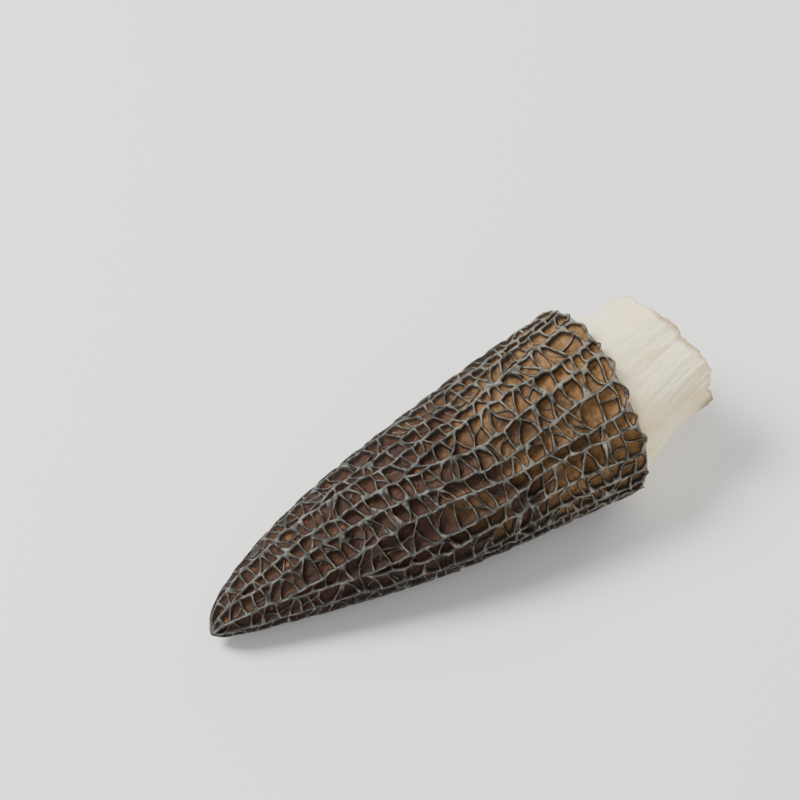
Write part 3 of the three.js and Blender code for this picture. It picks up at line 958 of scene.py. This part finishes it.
@dataclass
class Stem:
    """The pale, hollow stem: a thin wrinkled tube with a ragged cut end."""

    form: Form
    offset: np.ndarray
    reach: float = 17.4
    slant: float = 3.4
    slant_angle: float = 165
    half_width: float = 14.4
    half_height: float = 10.3
    skin_below_crest: float = 2.6
    joint_shift: tuple = (-0.9, -0.4)
    shift: tuple = (2.6, 4.9)
    ear_angle: float = 197
    ear_spread: float = 20
    ear_size: float = 0.2
    ear_reach: float = 1.4
    folds: tuple = ((5, 0.045, 0.8), (8, 0.03, 2.1))
    rim_waves: tuple = ((3, 0.7, 0.5), (7, 0.45, 1.9))
    fine_rim: tuple = ((13, 0.22, 0.3), (29, 0.12, 1.1), (47, 0.07, 2.6))
    wrinkles: tuple = (
        (17, 0.07, 0.4, 2.1), (31, 0.06, 1.7, -3.0), (53, 0.045, 2.9, 4.2), (83, 0.03, 0.2, -6.0),
    )
    wrinkle_inset: float = 0.12
    wrinkle_start: float = 0.25
    dents: tuple = (
        (0.34, 0.62, 0.5, 0.26), (0.5, 1.5, 0.42, 0.22), (0.72, 2.3, 0.36, 0.2), (0.66, 0.1, 0.4, 0.22),
    )
    dent_width: float = 1.6
    narrowing_power: float = 1.2
    closer_at_cut: float = 1.15
    cut_rings: tuple = ((0.12, 1.006), (0.3, 1.01), (0.47, 1.006))
    wall: tuple = (1.25, 0.55)
    around: int = 300
    along: int = 44
    inside_along: int = 20

    def _ear(self, angle: np.ndarray) -> np.ndarray:
        """Tells how much of the ear is at an angle."""
        centre = math.radians(self.ear_angle)
        away = (angle - centre + math.pi) % TURN - math.pi
        return np.exp(-((away / math.radians(self.ear_spread)) ** 2))

    def _reach(self, angle: np.ndarray) -> np.ndarray:
        """Tells how far the stem reaches at an angle."""
        out = self.reach + self.slant * np.cos(angle - math.radians(self.slant_angle))
        for count, size, phase in self.rim_waves:
            out = out + size * np.sin(count * angle + phase)
        for count, size, phase in self.fine_rim:
            out = out - size * (1 + np.sin(count * angle + phase))
        return out + self.ear_reach * self._ear(angle)

    def place(self, share: float, angle: np.ndarray, inset: float) -> np.ndarray:
        """Gives points of the stem.

        Args:
            share: 0 at the joint and 1 at the cut.
            angle: Angles round it.
            inset: How far the points are drawn in from its skin.

        Returns:
            One point a row, in millimetres, before the offset.
        """
        narrowing = math.sin(min(1.0, share) * math.pi / 2) ** self.narrowing_power
        fold = 1 + self.ear_size * share ** 2 * self._ear(angle)
        for count, size, phase in self.folds:
            fold = fold + size * share * np.sin(count * angle + phase)
        joint = self.form.section(1.0, angle, self.skin_below_crest)
        height = self.form.half_height - self.form.pressed_flat + self.joint_shift[1]
        centre = np.array([self.joint_shift[0], height])
        start = joint[..., 1:] + np.array(self.joint_shift) - centre
        cut = np.stack([self.half_width * np.cos(angle), self.half_height * np.sin(angle)], -1)
        out = fold[..., None] * (start + (cut - start) * narrowing)
        wrinkle = -self.wrinkle_inset * np.ones_like(angle)
        for count, size, phase, drift in self.wrinkles:
            wave = np.sin(count * angle + phase + drift * share)
            wrinkle = wrinkle + size * min(1.0, self.wrinkle_start + share) * wave
        for at, turn, depth, spread in self.dents:
            off = ((angle - turn + math.pi) % TURN - math.pi) / (self.dent_width * spread)
            wrinkle = wrinkle - depth * np.exp(-off ** 2 - ((share - at) / spread) ** 2)
        direction = np.stack([np.cos(angle), np.sin(angle)], -1)
        out = out + (wrinkle - inset)[..., None] * direction
        out = out + centre + share * (np.array(self.shift) - np.array(self.joint_shift))
        return np.concatenate([(share * self._reach(angle))[..., None], out], -1)

    def build(self, finish: bpy.types.Material) -> bpy.types.Object:
        """Builds the stem as one closed tube with a wall.

        Args:
            finish: Its material.

        Returns:
            The stem, in metres, in the row's frame.
        """
        angles = np.arange(self.around) / self.around * TURN
        rings, shares, edges = [], [], []
        for step in range(self.along + 1):
            share = 1 - (1 - step / self.along) ** self.closer_at_cut
            rings.append(self.place(share, angles, 0.0))
            shares.append(share)
            edges.append(0.0)
        for inset, share in self.cut_rings:
            rings.append(self.place(share, angles, inset))
            shares.append(1.0)
            edges.append(1.0)
        for step in range(self.inside_along, -1, -1):
            share = step / self.inside_along
            rings.append(self.place(share, angles, self.wall[0] + (self.wall[1] - self.wall[0]) * share))
            shares.append(share)
            edges.append(0.5)
        count = self.around
        faces = []
        for number in range(len(rings)):
            after = (number + 1) % len(rings)
            for place in range(count):
                beside = (place + 1) % count
                faces.append((number * count + place, number * count + beside,
                              after * count + beside, after * count + place))
        stem = make_piece("stem_skin", np.concatenate(rings) + self.offset, faces, finish)
        tint(stem, Layer.ALONG, np.repeat(np.array(shares), count))
        tint(stem, Layer.LIP, np.repeat(np.array(edges), count))
        tint(stem, Layer.TONE, np.tile(self._ear(angles), len(rings)))
        return stem


def make_piece(name: str, places: np.ndarray, faces: list[Face],
               finish: bpy.types.Material) -> bpy.types.Object:
    """Makes an object from points in millimetres.

    Args:
        name: The piece's name.
        places: One point a row.
        faces: Corners of each face, facing out.
        finish: Its material.

    Returns:
        The new object, at the origin, in metres.
    """
    mesh = bpy.data.meshes.new(name)
    mesh.from_pydata((places * MM).tolist(), [], faces)
    mesh.update()
    mesh.shade_smooth()
    mesh.materials.append(finish)
    made = bpy.data.objects.new(name, mesh)
    bpy.context.scene.collection.objects.link(made)
    return made


def tint(piece: bpy.types.Object, layer: Layer, values: np.ndarray) -> None:
    """Stores one number a point for the finishes to read."""
    attribute = piece.data.attributes.new(layer.value, "FLOAT", "POINT")
    attribute.data.foreach_set("value", np.asarray(values, np.float32))


class Nodes:
    """Short ways to add and join shader nodes of one material."""

    def __init__(self, name: str) -> None:
        """Makes the material and keeps its shader."""
        self.material = bpy.data.materials.new(name)
        self.material.use_nodes = True
        self.tree = self.material.node_tree
        self.shader = self.tree.nodes["Principled BSDF"]
        self.place = self.tree.nodes.new("ShaderNodeTexCoord").outputs["Object"]

    def link(self, source: Socket, target: Socket) -> None:
        """Joins an output to an input."""
        self.tree.links.new(source, target)

    def layer(self, layer: Layer) -> Socket:
        """Gives the output that reads a point attribute."""
        node = self.tree.nodes.new("ShaderNodeAttribute")
        node.attribute_name = layer.value
        return node.outputs["Fac"]

    def noise(self, scale: float, detail: float = 3, stretch: tuple = (1, 1, 1),
              rough: float = 0.55) -> Socket:
        """Gives noise.

        Args:
            scale: Features a metre.
            detail: How many finer layers it has.
            stretch: What each axis is multiplied by first.
            rough: How strong the finer layers are.

        Returns:
            The noise, about 0.3 to 0.7.
        """
        mapping = self.tree.nodes.new("ShaderNodeMapping")
        mapping.inputs["Scale"].default_value = stretch
        self.link(self.place, mapping.inputs["Vector"])
        node = self.tree.nodes.new("ShaderNodeTexNoise")
        node.inputs["Scale"].default_value = scale
        node.inputs["Detail"].default_value = detail
        node.inputs["Roughness"].default_value = rough
        self.link(mapping.outputs["Vector"], node.inputs["Vector"])
        return node.outputs["Fac"]

    def remap(self, value: Socket, low: float, high: float, start: float = 0, end: float = 1) -> Socket:
        """Spreads the part of a value between two limits over another range.

        Args:
            value: The value.
            low: Where the part starts.
            high: Where it ends.
            start: What the low limit becomes.
            end: What the high limit becomes.

        Returns:
            The result, eased at both ends.
        """
        node = self.tree.nodes.new("ShaderNodeMapRange")
        node.interpolation_type = "SMOOTHSTEP"
        for name, number in (("From Min", low), ("From Max", high), ("To Min", start), ("To Max", end)):
            node.inputs[name].default_value = number
        self.link(value, node.inputs["Value"])
        return node.outputs["Result"]

    def maths(self, kind: str, first: Socket | float, second: Socket | float) -> Socket:
        """Gives a sum, product or other simple result.

        Args:
            kind: Blender's name for the sum.
            first: An output or a number.
            second: An output or a number.

        Returns:
            The result.
        """
        node = self.tree.nodes.new("ShaderNodeMath")
        node.operation = kind
        for value, target in ((first, node.inputs[0]), (second, node.inputs[1])):
            if isinstance(value, (int, float)):
                target.default_value = value
            else:
                self.link(value, target)
        return node.outputs[0]

    def mix(self, share: Socket, first: Socket | Colour, second: Socket | Colour) -> Socket:
        """Mixes two colours.

        Args:
            share: How much of the second there is.
            first: A colour or an output.
            second: A colour or an output.

        Returns:
            The mixed colour.
        """
        node = self.tree.nodes.new("ShaderNodeMix")
        node.data_type = "RGBA"
        self.link(share, node.inputs[0])
        for value, target in ((first, node.inputs[6]), (second, node.inputs[7])):
            if isinstance(value, tuple):
                target.default_value = (*value, 1)
            else:
                self.link(value, target)
        return node.outputs[2]

    def bump(self, height: Socket, distance: float, strength: float = 1,
             below: Socket | None = None) -> Socket:
        """Gives a bumped normal.

        Args:
            height: How high the surface stands.
            distance: What a height of 1 is, in metres.
            strength: How much of the bump shows.
            below: A bumped normal that this one lies on, if there is one.

        Returns:
            The normal.
        """
        node = self.tree.nodes.new("ShaderNodeBump")
        node.inputs["Distance"].default_value = distance
        node.inputs["Strength"].default_value = strength
        self.link(height, node.inputs["Height"])
        if below is not None:
            self.link(below, node.inputs["Normal"])
        return node.outputs["Normal"]


@dataclass(frozen=True)
class CapFinish:
    """The cap's skin: grey lips with a painted highlight along their crests, pit walls painted darker as
    shade, and pits from tan at the rim to dusky brown at the tip.
    """

    lip_rim: Colour = srgb(120, 115, 102)
    lip_tip: Colour = srgb(68, 67, 62)
    lip_dark: Colour = srgb(40, 38, 34)
    # Painted highlight: the pale grey laid along the top of each ridge.
    lip_highlight: Colour = srgb(146, 145, 137)
    # Painted shade: the dark brown of the steep pit walls just below the ridges.
    wall: Colour = srgb(48, 38, 31)
    pit_rim: Colour = srgb(140, 106, 66)
    pit_tip: Colour = srgb(68, 44, 30)
    pit_dark: Colour = srgb(32, 22, 16)
    glint: Colour = srgb(142, 98, 52)

    def material(self, name: str = "cap_finish") -> bpy.types.Material:
        """Builds the material.

        Args:
            name: The material's name.

        Returns:
            The material.
        """
        n = Nodes(name)
        along, tone = n.layer(Layer.ALONG), n.layer(Layer.TONE)
        lip, pit = n.layer(Layer.LIP), n.layer(Layer.PIT)
        broad = n.noise(90, 3)
        drift = n.maths("MULTIPLY", n.maths("SUBTRACT", broad, 0.5), 0.9)
        ripe = n.remap(n.maths("ADD", along, drift), 0.5, 1.0)
        floor = n.mix(ripe, self.pit_tip, self.pit_rim)
        mottle = n.remap(n.noise(520, 5, rough=0.65), 0.38, 0.66)
        floor = n.mix(n.maths("MULTIPLY", mottle, 0.55), floor, self.pit_dark)
        floor = n.mix(n.maths("MULTIPLY", n.remap(tone, 0.55, 1.0), 0.4), floor, self.pit_dark)
        amber = n.maths("MULTIPLY", n.remap(n.noise(430, 3), 0.6, 0.74), 0.5)
        floor = n.mix(amber, floor, self.glint)
        # Painted shade: the steep walls below the lips are made darker than the floors, in patches darker
        # still.
        side = n.mix(n.remap(n.noise(700, 3), 0.4, 0.7), self.wall, self.pit_dark)
        skin = n.mix(n.remap(pit, 0.02, 0.45), side, floor)
        grey = n.mix(ripe, self.lip_tip, self.lip_rim)
        ridge = n.mix(n.remap(n.noise(420, 5, rough=0.65), 0.36, 0.6), self.lip_dark, grey)
        # Painted highlight: a pale line along the ridges' crests, broken into patches by noise.
        highlight_patches = n.remap(n.noise(700, 4, rough=0.65), 0.42, 0.62)
        crest = n.maths("MULTIPLY", n.remap(lip, 0.72, 1.0), highlight_patches)
        ridge = n.mix(n.maths("MULTIPLY", crest, 0.55), ridge, self.lip_highlight)
        skin = n.mix(n.remap(lip, 0.2, 0.62), skin, ridge)
        n.link(skin, n.shader.inputs["Base Color"])
        n.link(n.remap(n.noise(800, 3), 0.35, 0.7, 0.42, 0.72), n.shader.inputs["Roughness"])
        coarse = n.bump(n.noise(1100, 5, rough=0.65), 0.00045)
        n.link(n.bump(n.noise(4200, 3), 0.00009, below=coarse), n.shader.inputs["Normal"])
        n.shader.inputs["Specular IOR Level"].default_value = 0.26
        return n.material


@dataclass(frozen=True)
class VeinFinish:
    """The fine veins on the pits' floors, a little paler than the floor."""

    dark: Colour = srgb(70, 66, 60)
    pale: Colour = srgb(112, 108, 98)

    def material(self, name: str = "vein_finish") -> bpy.types.Material:
        """Builds the material."""
        n = Nodes(name)
        skin = n.mix(n.remap(n.noise(420, 3), 0.35, 0.65), self.dark, self.pale)
        n.link(skin, n.shader.inputs["Base Color"])
        n.shader.inputs["Roughness"].default_value = 0.6
        n.link(n.bump(n.noise(3000, 3), 0.0001), n.shader.inputs["Normal"])
        return n.material


@dataclass(frozen=True)
class StemFinish:
    """The stem's skin: dry cream parchment with fine fibres and painted paler highlights, a brown cut edge,
    a grey-brown ear near the cut, and spots of dirt.
    """

    cream: Colour = srgb(251, 231, 182)
    # Painted highlight: the paler cream of patches scattered over the stem.
    pale: Colour = srgb(255, 245, 206)
    straw: Colour = srgb(224, 194, 134)
    edge: Colour = srgb(150, 94, 42)
    # Grey-brown for the ear near the cut, and for spots of dirt.
    ear_and_dirt_brown: Colour = srgb(120, 94, 72)

    def material(self, name: str = "stem_finish") -> bpy.types.Material:
        """Builds the material.

        Args:
            name: The material's name.

        Returns:
            The material.
        """
        n = Nodes(name)
        along, rim, ear = n.layer(Layer.ALONG), n.layer(Layer.LIP), n.layer(Layer.TONE)
        fibre = n.noise(560, 5, stretch=(0.3, 1, 1), rough=0.62)
        broad = n.noise(110, 3)
        # Painted highlights: paler cream patches, scattered by broad noise.
        skin = n.mix(n.remap(broad, 0.35, 0.65), self.cream, self.pale)
        skin = n.mix(n.maths("MULTIPLY", n.remap(fibre, 0.52, 0.74), 0.42), skin, self.straw)
        uneven = n.maths("MULTIPLY", n.maths("SUBTRACT", broad, 0.5), 0.2)
        near_cut = n.remap(n.maths("ADD", along, uneven), 0.95, 1.02)
        skin = n.mix(n.maths("MULTIPLY", near_cut, 0.7), skin, self.edge)
        skin = n.mix(n.maths("MULTIPLY", n.remap(rim, 0.6, 1.0), 0.75), skin, self.edge)
        # The ear is painted grey-brown towards the cut.
        ear_darkening = n.maths("MULTIPLY", n.remap(ear, 0.35, 0.95), n.remap(along, 0.72, 0.97))
        skin = n.mix(n.maths("MULTIPLY", ear_darkening, 0.85), skin, self.ear_and_dirt_brown)
        dirt = n.remap(n.noise(260, 4, rough=0.7), 0.66, 0.78)
        skin = n.mix(n.maths("MULTIPLY", dirt, 0.25), skin, self.ear_and_dirt_brown)
        n.link(skin, n.shader.inputs["Base Color"])
        n.shader.inputs["Roughness"].default_value = 0.62
        n.shader.inputs["Specular IOR Level"].default_value = 0.35
        lines = n.bump(n.noise(700, 5, stretch=(0.4, 1, 1), rough=0.62), 0.0005)
        n.link(n.bump(n.noise(2600, 3), 0.0001, below=lines), n.shader.inputs["Normal"])
        return n.material


@dataclass(frozen=True)
class SpeckFinish:
    """Pale dust caught on the ridges."""

    pale: Colour = srgb(186, 182, 170)

    def material(self, name: str = "speck_finish") -> bpy.types.Material:
        """Builds the material."""
        n = Nodes(name)
        n.link(n.mix(n.noise(900, 2), self.pale, srgb(170, 150, 118)), n.shader.inputs["Base Color"])
        n.shader.inputs["Roughness"].default_value = 0.7
        return n.material


class Tree:
    """A geometry node tree built in script, with named inputs."""

    def __init__(self, name: str) -> None:
        """Makes an empty tree with a geometry input and output."""
        self.group = bpy.data.node_groups.new(name, "GeometryNodeTree")
        self.group.interface.new_socket("Geometry", in_out="INPUT", socket_type="NodeSocketGeometry")
        self.group.interface.new_socket("Geometry", in_out="OUTPUT", socket_type="NodeSocketGeometry")
        self.sockets: dict[str, str] = {}
        self.values: dict[str, object] = {}

    def number(self, name: str, value: float, kind: str = "NodeSocketFloat") -> None:
        """Adds a named input.

        Args:
            name: The input's name.
            value: What the modifier sets it to.
            kind: The socket's type.
        """
        socket = self.group.interface.new_socket(name, in_out="INPUT", socket_type=kind)
        self.sockets[name] = socket.identifier
        self.values[name] = value

    def start(self) -> None:
        """Adds the tree's ends, once its inputs are named."""
        self.entry = self.group.nodes.new("NodeGroupInput")
        self.exit = self.group.nodes.new("NodeGroupOutput")

    def add(self, kind: str, **inputs: object) -> bpy.types.Node:
        """Adds a node and joins or sets its inputs.

        Args:
            kind: The node's type.
            inputs: An output or a value for each input, by name.

        Returns:
            The node.
        """
        node = self.group.nodes.new(kind)
        for name, value in inputs.items():
            target = node.inputs[name.replace("_", " ")]
            if isinstance(value, bpy.types.NodeSocket):
                self.group.links.new(value, target)
            else:
                target.default_value = value
        return node

    def close(self, geometry: Socket, finish: bpy.types.Material) -> None:
        """Ends the tree: instances made real, and the finish set.

        Args:
            geometry: What the tree has made.
            finish: Its material.
        """
        real = self.add("GeometryNodeRealizeInstances", Geometry=geometry)
        done = self.add("GeometryNodeSetMaterial", Geometry=real.outputs["Geometry"], Material=finish)
        self.group.links.new(done.outputs["Geometry"], self.exit.inputs["Geometry"])

    def grow(self, seed_mesh: bpy.types.Mesh, name: str) -> bpy.types.Object:
        """Runs the tree on a mesh and keeps the result as a plain mesh.

        Args:
            seed_mesh: What the tree starts from.
            name: The new piece's name.

        Returns:
            The piece, at the origin.
        """
        carrier = bpy.data.objects.new(name, seed_mesh)
        bpy.context.scene.collection.objects.link(carrier)
        modifier = carrier.modifiers.new("grow", "NODES")
        modifier.node_group = self.group
        for key, value in self.values.items():
            modifier[self.sockets[key]] = value
        bpy.context.view_layer.update()
        depsgraph = bpy.context.evaluated_depsgraph_get()
        grown = bpy.data.meshes.new_from_object(carrier.evaluated_get(depsgraph))
        carrier.modifiers.clear()
        carrier.data = grown
        grown.name = name
        grown.shade_smooth()
        return carrier


@dataclass
class Veins:
    """Fine veins that cross the pits' floors from wall to wall."""

    form: Form
    weave: Weave
    offset: np.ndarray
    depth: float = 2.3
    radius: float = 0.15
    share: float = 0.3
    seed: int = 77
    steps: int = 14
    smallest_reach: float = 1.15
    narrow_depth: float = 1.3
    opposite: tuple = (0.38, 0.24)
    curl: float = 0.4
    clear: float = 0.3
    sinks: tuple = (0.5, 0.45)
    thickness: tuple = (1.1, 0.45)

    def _paths(self) -> tuple[np.ndarray, list[tuple[int, int]], np.ndarray]:
        """Lays the veins' paths on the floors.

        Returns:
            Their points in millimetres, the pairs of points that are joined, and a thickness for each point.
        """
        random = repeatable(self.seed)
        places, pairs, sizes = [], [], []
        count = 0
        for drawn in self.weave.pits:
            loop = np.array(drawn)
            pit = Pit(self.form, self.weave.station[loop], self.weave.angle[loop])
            if pit.reach < self.smallest_reach or random() > self.share:
                continue
            size = float(self.form.swell(pit.centre[0] / self.form.length))
            depth = min(self.depth * (1 + size) / 2, self.narrow_depth * pit.reach)
            begin = int(random() * len(loop))
            turn = self.opposite[0] + self.opposite[1] * random()
            start, end = pit.flat[begin], pit.flat[(begin + int(len(loop) * turn)) % len(loop)]
            across = np.array([-(end - start)[1], (end - start)[0]]) * self.curl * (random() - 0.5)
            t = np.linspace(0, 1, self.steps)[:, None]
            line = start + (end - start) * t + across * 4 * t * (1 - t)
            keep = pit.distance(line) > self.clear
            if keep.sum() < 4:
                continue
            line, t = line[keep], t[keep, 0]
            middle = 1 - np.abs(2 * t - 1) ** 2
            where = self.form.point(line[:, 0] / self.form.length, line[:, 1] / pit.radius,
                                    depth * (self.sinks[0] + self.sinks[1] * middle))
            places.append(where)
            sizes.append(self.thickness[0] - self.thickness[1] * middle)
            pairs += [(count + i, count + i + 1) for i in range(len(where) - 1)]
            count += len(where)
        return np.concatenate(places), pairs, np.concatenate(sizes)

    def build(self, finish: bpy.types.Material) -> bpy.types.Object:
        """Builds the veins as swept tubes.

        Args:
            finish: Their material.

        Returns:
            The veins as one piece.
        """
        places, pairs, sizes = self._paths()
        mesh = bpy.data.meshes.new("vein_paths")
        mesh.from_pydata(((places + self.offset) * MM).tolist(), pairs, [])
        attribute = mesh.attributes.new(Layer.RADIUS.value, "FLOAT", "POINT")
        attribute.data.foreach_set("value", sizes.astype(np.float32))
        tree = Tree("veins")
        tree.number("Thickness", self.radius * MM)
        tree.number("Sides", 6, "NodeSocketInt")
        tree.start()
        curve = tree.add("GeometryNodeMeshToCurve", Mesh=tree.entry.outputs["Geometry"])
        ring = tree.add("GeometryNodeCurvePrimitiveCircle", Resolution=tree.entry.outputs["Sides"],
                        Radius=tree.entry.outputs["Thickness"])
        size = tree.add("GeometryNodeInputNamedAttribute", Name=Layer.RADIUS.value)
        tube = tree.add("GeometryNodeCurveToMesh", Curve=curve.outputs["Curve"],
                        Profile_Curve=ring.outputs["Curve"], Scale=size.outputs["Attribute"],
                        Fill_Caps=True)
        tree.close(tube.outputs["Mesh"], finish)
        return tree.grow(mesh, "pit_veins")


@dataclass
class Specks:
    """Grains of pale dust on the ridges of the cap."""

    density: float = 26000.0
    grain: float = 0.085
    seed: int = 5

    def build(self, cap: bpy.types.Object, finish: bpy.types.Material) -> bpy.types.Object:
        """Scatters the grains over a cap.

        Args:
            cap: The cap, with its lips marked.
            finish: The grains' material.

        Returns:
            The grains as one piece.
        """
        tree = Tree("specks")
        tree.number("Density", self.density)
        tree.number("Grain", self.grain * MM)
        tree.number("Seed", self.seed, "NodeSocketInt")
        tree.start()
        lip = tree.add("GeometryNodeInputNamedAttribute", Name=Layer.LIP.value)
        chosen = tree.group.nodes.new("FunctionNodeCompare")
        chosen.operation = "GREATER_THAN"
        tree.group.links.new(lip.outputs["Attribute"], chosen.inputs[0])
        chosen.inputs[1].default_value = 0.3
        points = tree.add("GeometryNodeDistributePointsOnFaces", Mesh=tree.entry.outputs["Geometry"],
                          Selection=chosen.outputs[0], Density=tree.entry.outputs["Density"],
                          Seed=tree.entry.outputs["Seed"])
        grain = tree.add("GeometryNodeMeshIcoSphere", Radius=tree.entry.outputs["Grain"], Subdivisions=1)
        size = tree.group.nodes.new("FunctionNodeRandomValue")
        size.data_type = "FLOAT_VECTOR"
        size.inputs[0].default_value = (0.4, 0.4, 0.25)
        size.inputs[1].default_value = (1.5, 1.1, 0.8)
        tree.group.links.new(tree.entry.outputs["Seed"], size.inputs["Seed"])
        grains = tree.add("GeometryNodeInstanceOnPoints", Points=points.outputs["Points"],
                          Instance=grain.outputs["Mesh"], Rotation=points.outputs["Rotation"])
        tree.group.links.new(size.outputs[0], grains.inputs["Scale"])
        tree.close(grains.outputs["Instances"], finish)
        return tree.grow(cap.data.copy(), "ridge_dust")


@dataclass(frozen=True)
class Studio:
    """A pale floor, soft light and the camera."""

    azimuth: float = -29.5
    elevation: float = 53.0
    distance: float = 0.7
    target: tuple = (0.0014, 0.0208, 0.015)
    lens: float = 149.9
    floor_colour: Colour = (0.88, 0.88, 0.87)

    def _back(self) -> Vector:
        """Gives the direction from the object to the camera."""
        turn, tilt = math.radians(self.azimuth), math.radians(self.elevation)
        return Vector((math.sin(turn) * math.cos(tilt), -math.cos(turn) * math.cos(tilt), math.sin(tilt)))

    def camera(self) -> bpy.types.Object:
        """Sets up the camera.

        Returns:
            The camera.
        """
        data = bpy.data.cameras.new("camera")
        data.lens = self.lens
        data.sensor_width = 36
        data.clip_start = 0.01
        made = bpy.data.objects.new("camera", data)
        back = self._back()
        made.location = Vector(self.target) + back * self.distance
        made.rotation_euler = back.to_track_quat("Z", "Y").to_euler()
        bpy.context.scene.collection.objects.link(made)
        bpy.context.scene.camera = made
        return made

    def floor(self) -> bpy.types.Object:
        """Lays the floor.

        Returns:
            The floor.
        """
        n = Nodes("floor_finish")
        n.shader.inputs["Base Color"].default_value = (*self.floor_colour, 1)
        n.shader.inputs["Roughness"].default_value = 0.9
        n.shader.inputs["Specular IOR Level"].default_value = 0.2
        side = 4000
        corners = np.array([[-side, -side, 0], [side, -side, 0], [side, side, 0], [-side, side, 0]], float)
        made = make_piece("floor", corners, [(0, 1, 2, 3)], n.material)
        return made

    def lamp(self, name: str, place: tuple, size: float, power: float, colour: Colour = (1, 1, 1)) -> None:
        """Hangs a soft square lamp that looks at the object.

        Args:
            name: The lamp's name.
            place: Where it hangs, in metres.
            size: Its side, in metres.
            power: Its power, in watts.
            colour: Its light's colour.
        """
        data = bpy.data.lights.new(name, "AREA")
        data.size = size
        data.energy = power
        data.color = colour
        made = bpy.data.objects.new(name, data)
        made.location = place
        made.rotation_euler = Vector(place).to_track_quat("Z", "Y").to_euler()
        bpy.context.scene.collection.objects.link(made)

    def light(self) -> None:
        """Hangs the lamps and sets the room's own glow."""
        self.lamp("key", (-0.4, 0.35, 0.75), 0.4, 15.5, (1.0, 0.98, 0.95))
        self.lamp("fill", (-0.5, -0.7, 0.6), 0.9, 3.6, (0.98, 0.99, 1.0))
        self.lamp("rim", (0.7, 0.3, 0.35), 0.5, 3.0)
        world = bpy.data.worlds.new("room")
        world.use_nodes = True
        world.node_tree.nodes["Background"].inputs["Color"].default_value = (0.96, 0.97, 1.0, 1)
        world.node_tree.nodes["Background"].inputs["Strength"].default_value = 0.5
        bpy.context.scene.world = world


def frame_offset(form: Form, weave: Weave) -> np.ndarray:
    """Finds where the solids' own frame lies in the row's frame.

    Args:
        form: The cap's form.
        weave: Its net.

    Returns:
        What is added to a point, in millimetres.
    """
    knots = weave.net.knots
    crest = form.point(np.array([k.station for k in knots]), np.array([k.angle for k in knots]),
                       np.array([k.drop for k in knots]))
    low = np.array(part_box("cap")[0]) / MM
    return np.array([low[0] - crest[:, 0].min(), low[1] - crest[:, 1].min(), 0.0])


def main() -> None:
    """Builds the morel, its finishes and the studio."""
    logging.basicConfig(level=logging.INFO, format="%(name)s: %(message)s")
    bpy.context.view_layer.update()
    form = Form()
    weave = Weave(Net(form))
    offset = frame_offset(form, weave)
    log.info("net: %d knots, %d pits, offset %s mm", len(weave.net.knots), len(weave.pits), offset.round(3))

    cap = Cap(form, weave, offset).build(CapFinish().material())
    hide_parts("cap")
    stem = Stem(form, offset).build(StemFinish().material())
    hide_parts("stem")
    veins = Veins(form, weave, offset).build(VeinFinish().material())
    dust = Specks().build(cap, SpeckFinish().material())
    for piece in (cap, stem, veins, dust):
        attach(piece, "root")
        piece.data.calc_loop_triangles()
        log.info("%s: %d triangles", piece.name, len(piece.data.loop_triangles))

    studio = Studio()
    studio.floor()
    studio.light()
    studio.camera()


if __name__ == "__main__":
    main()
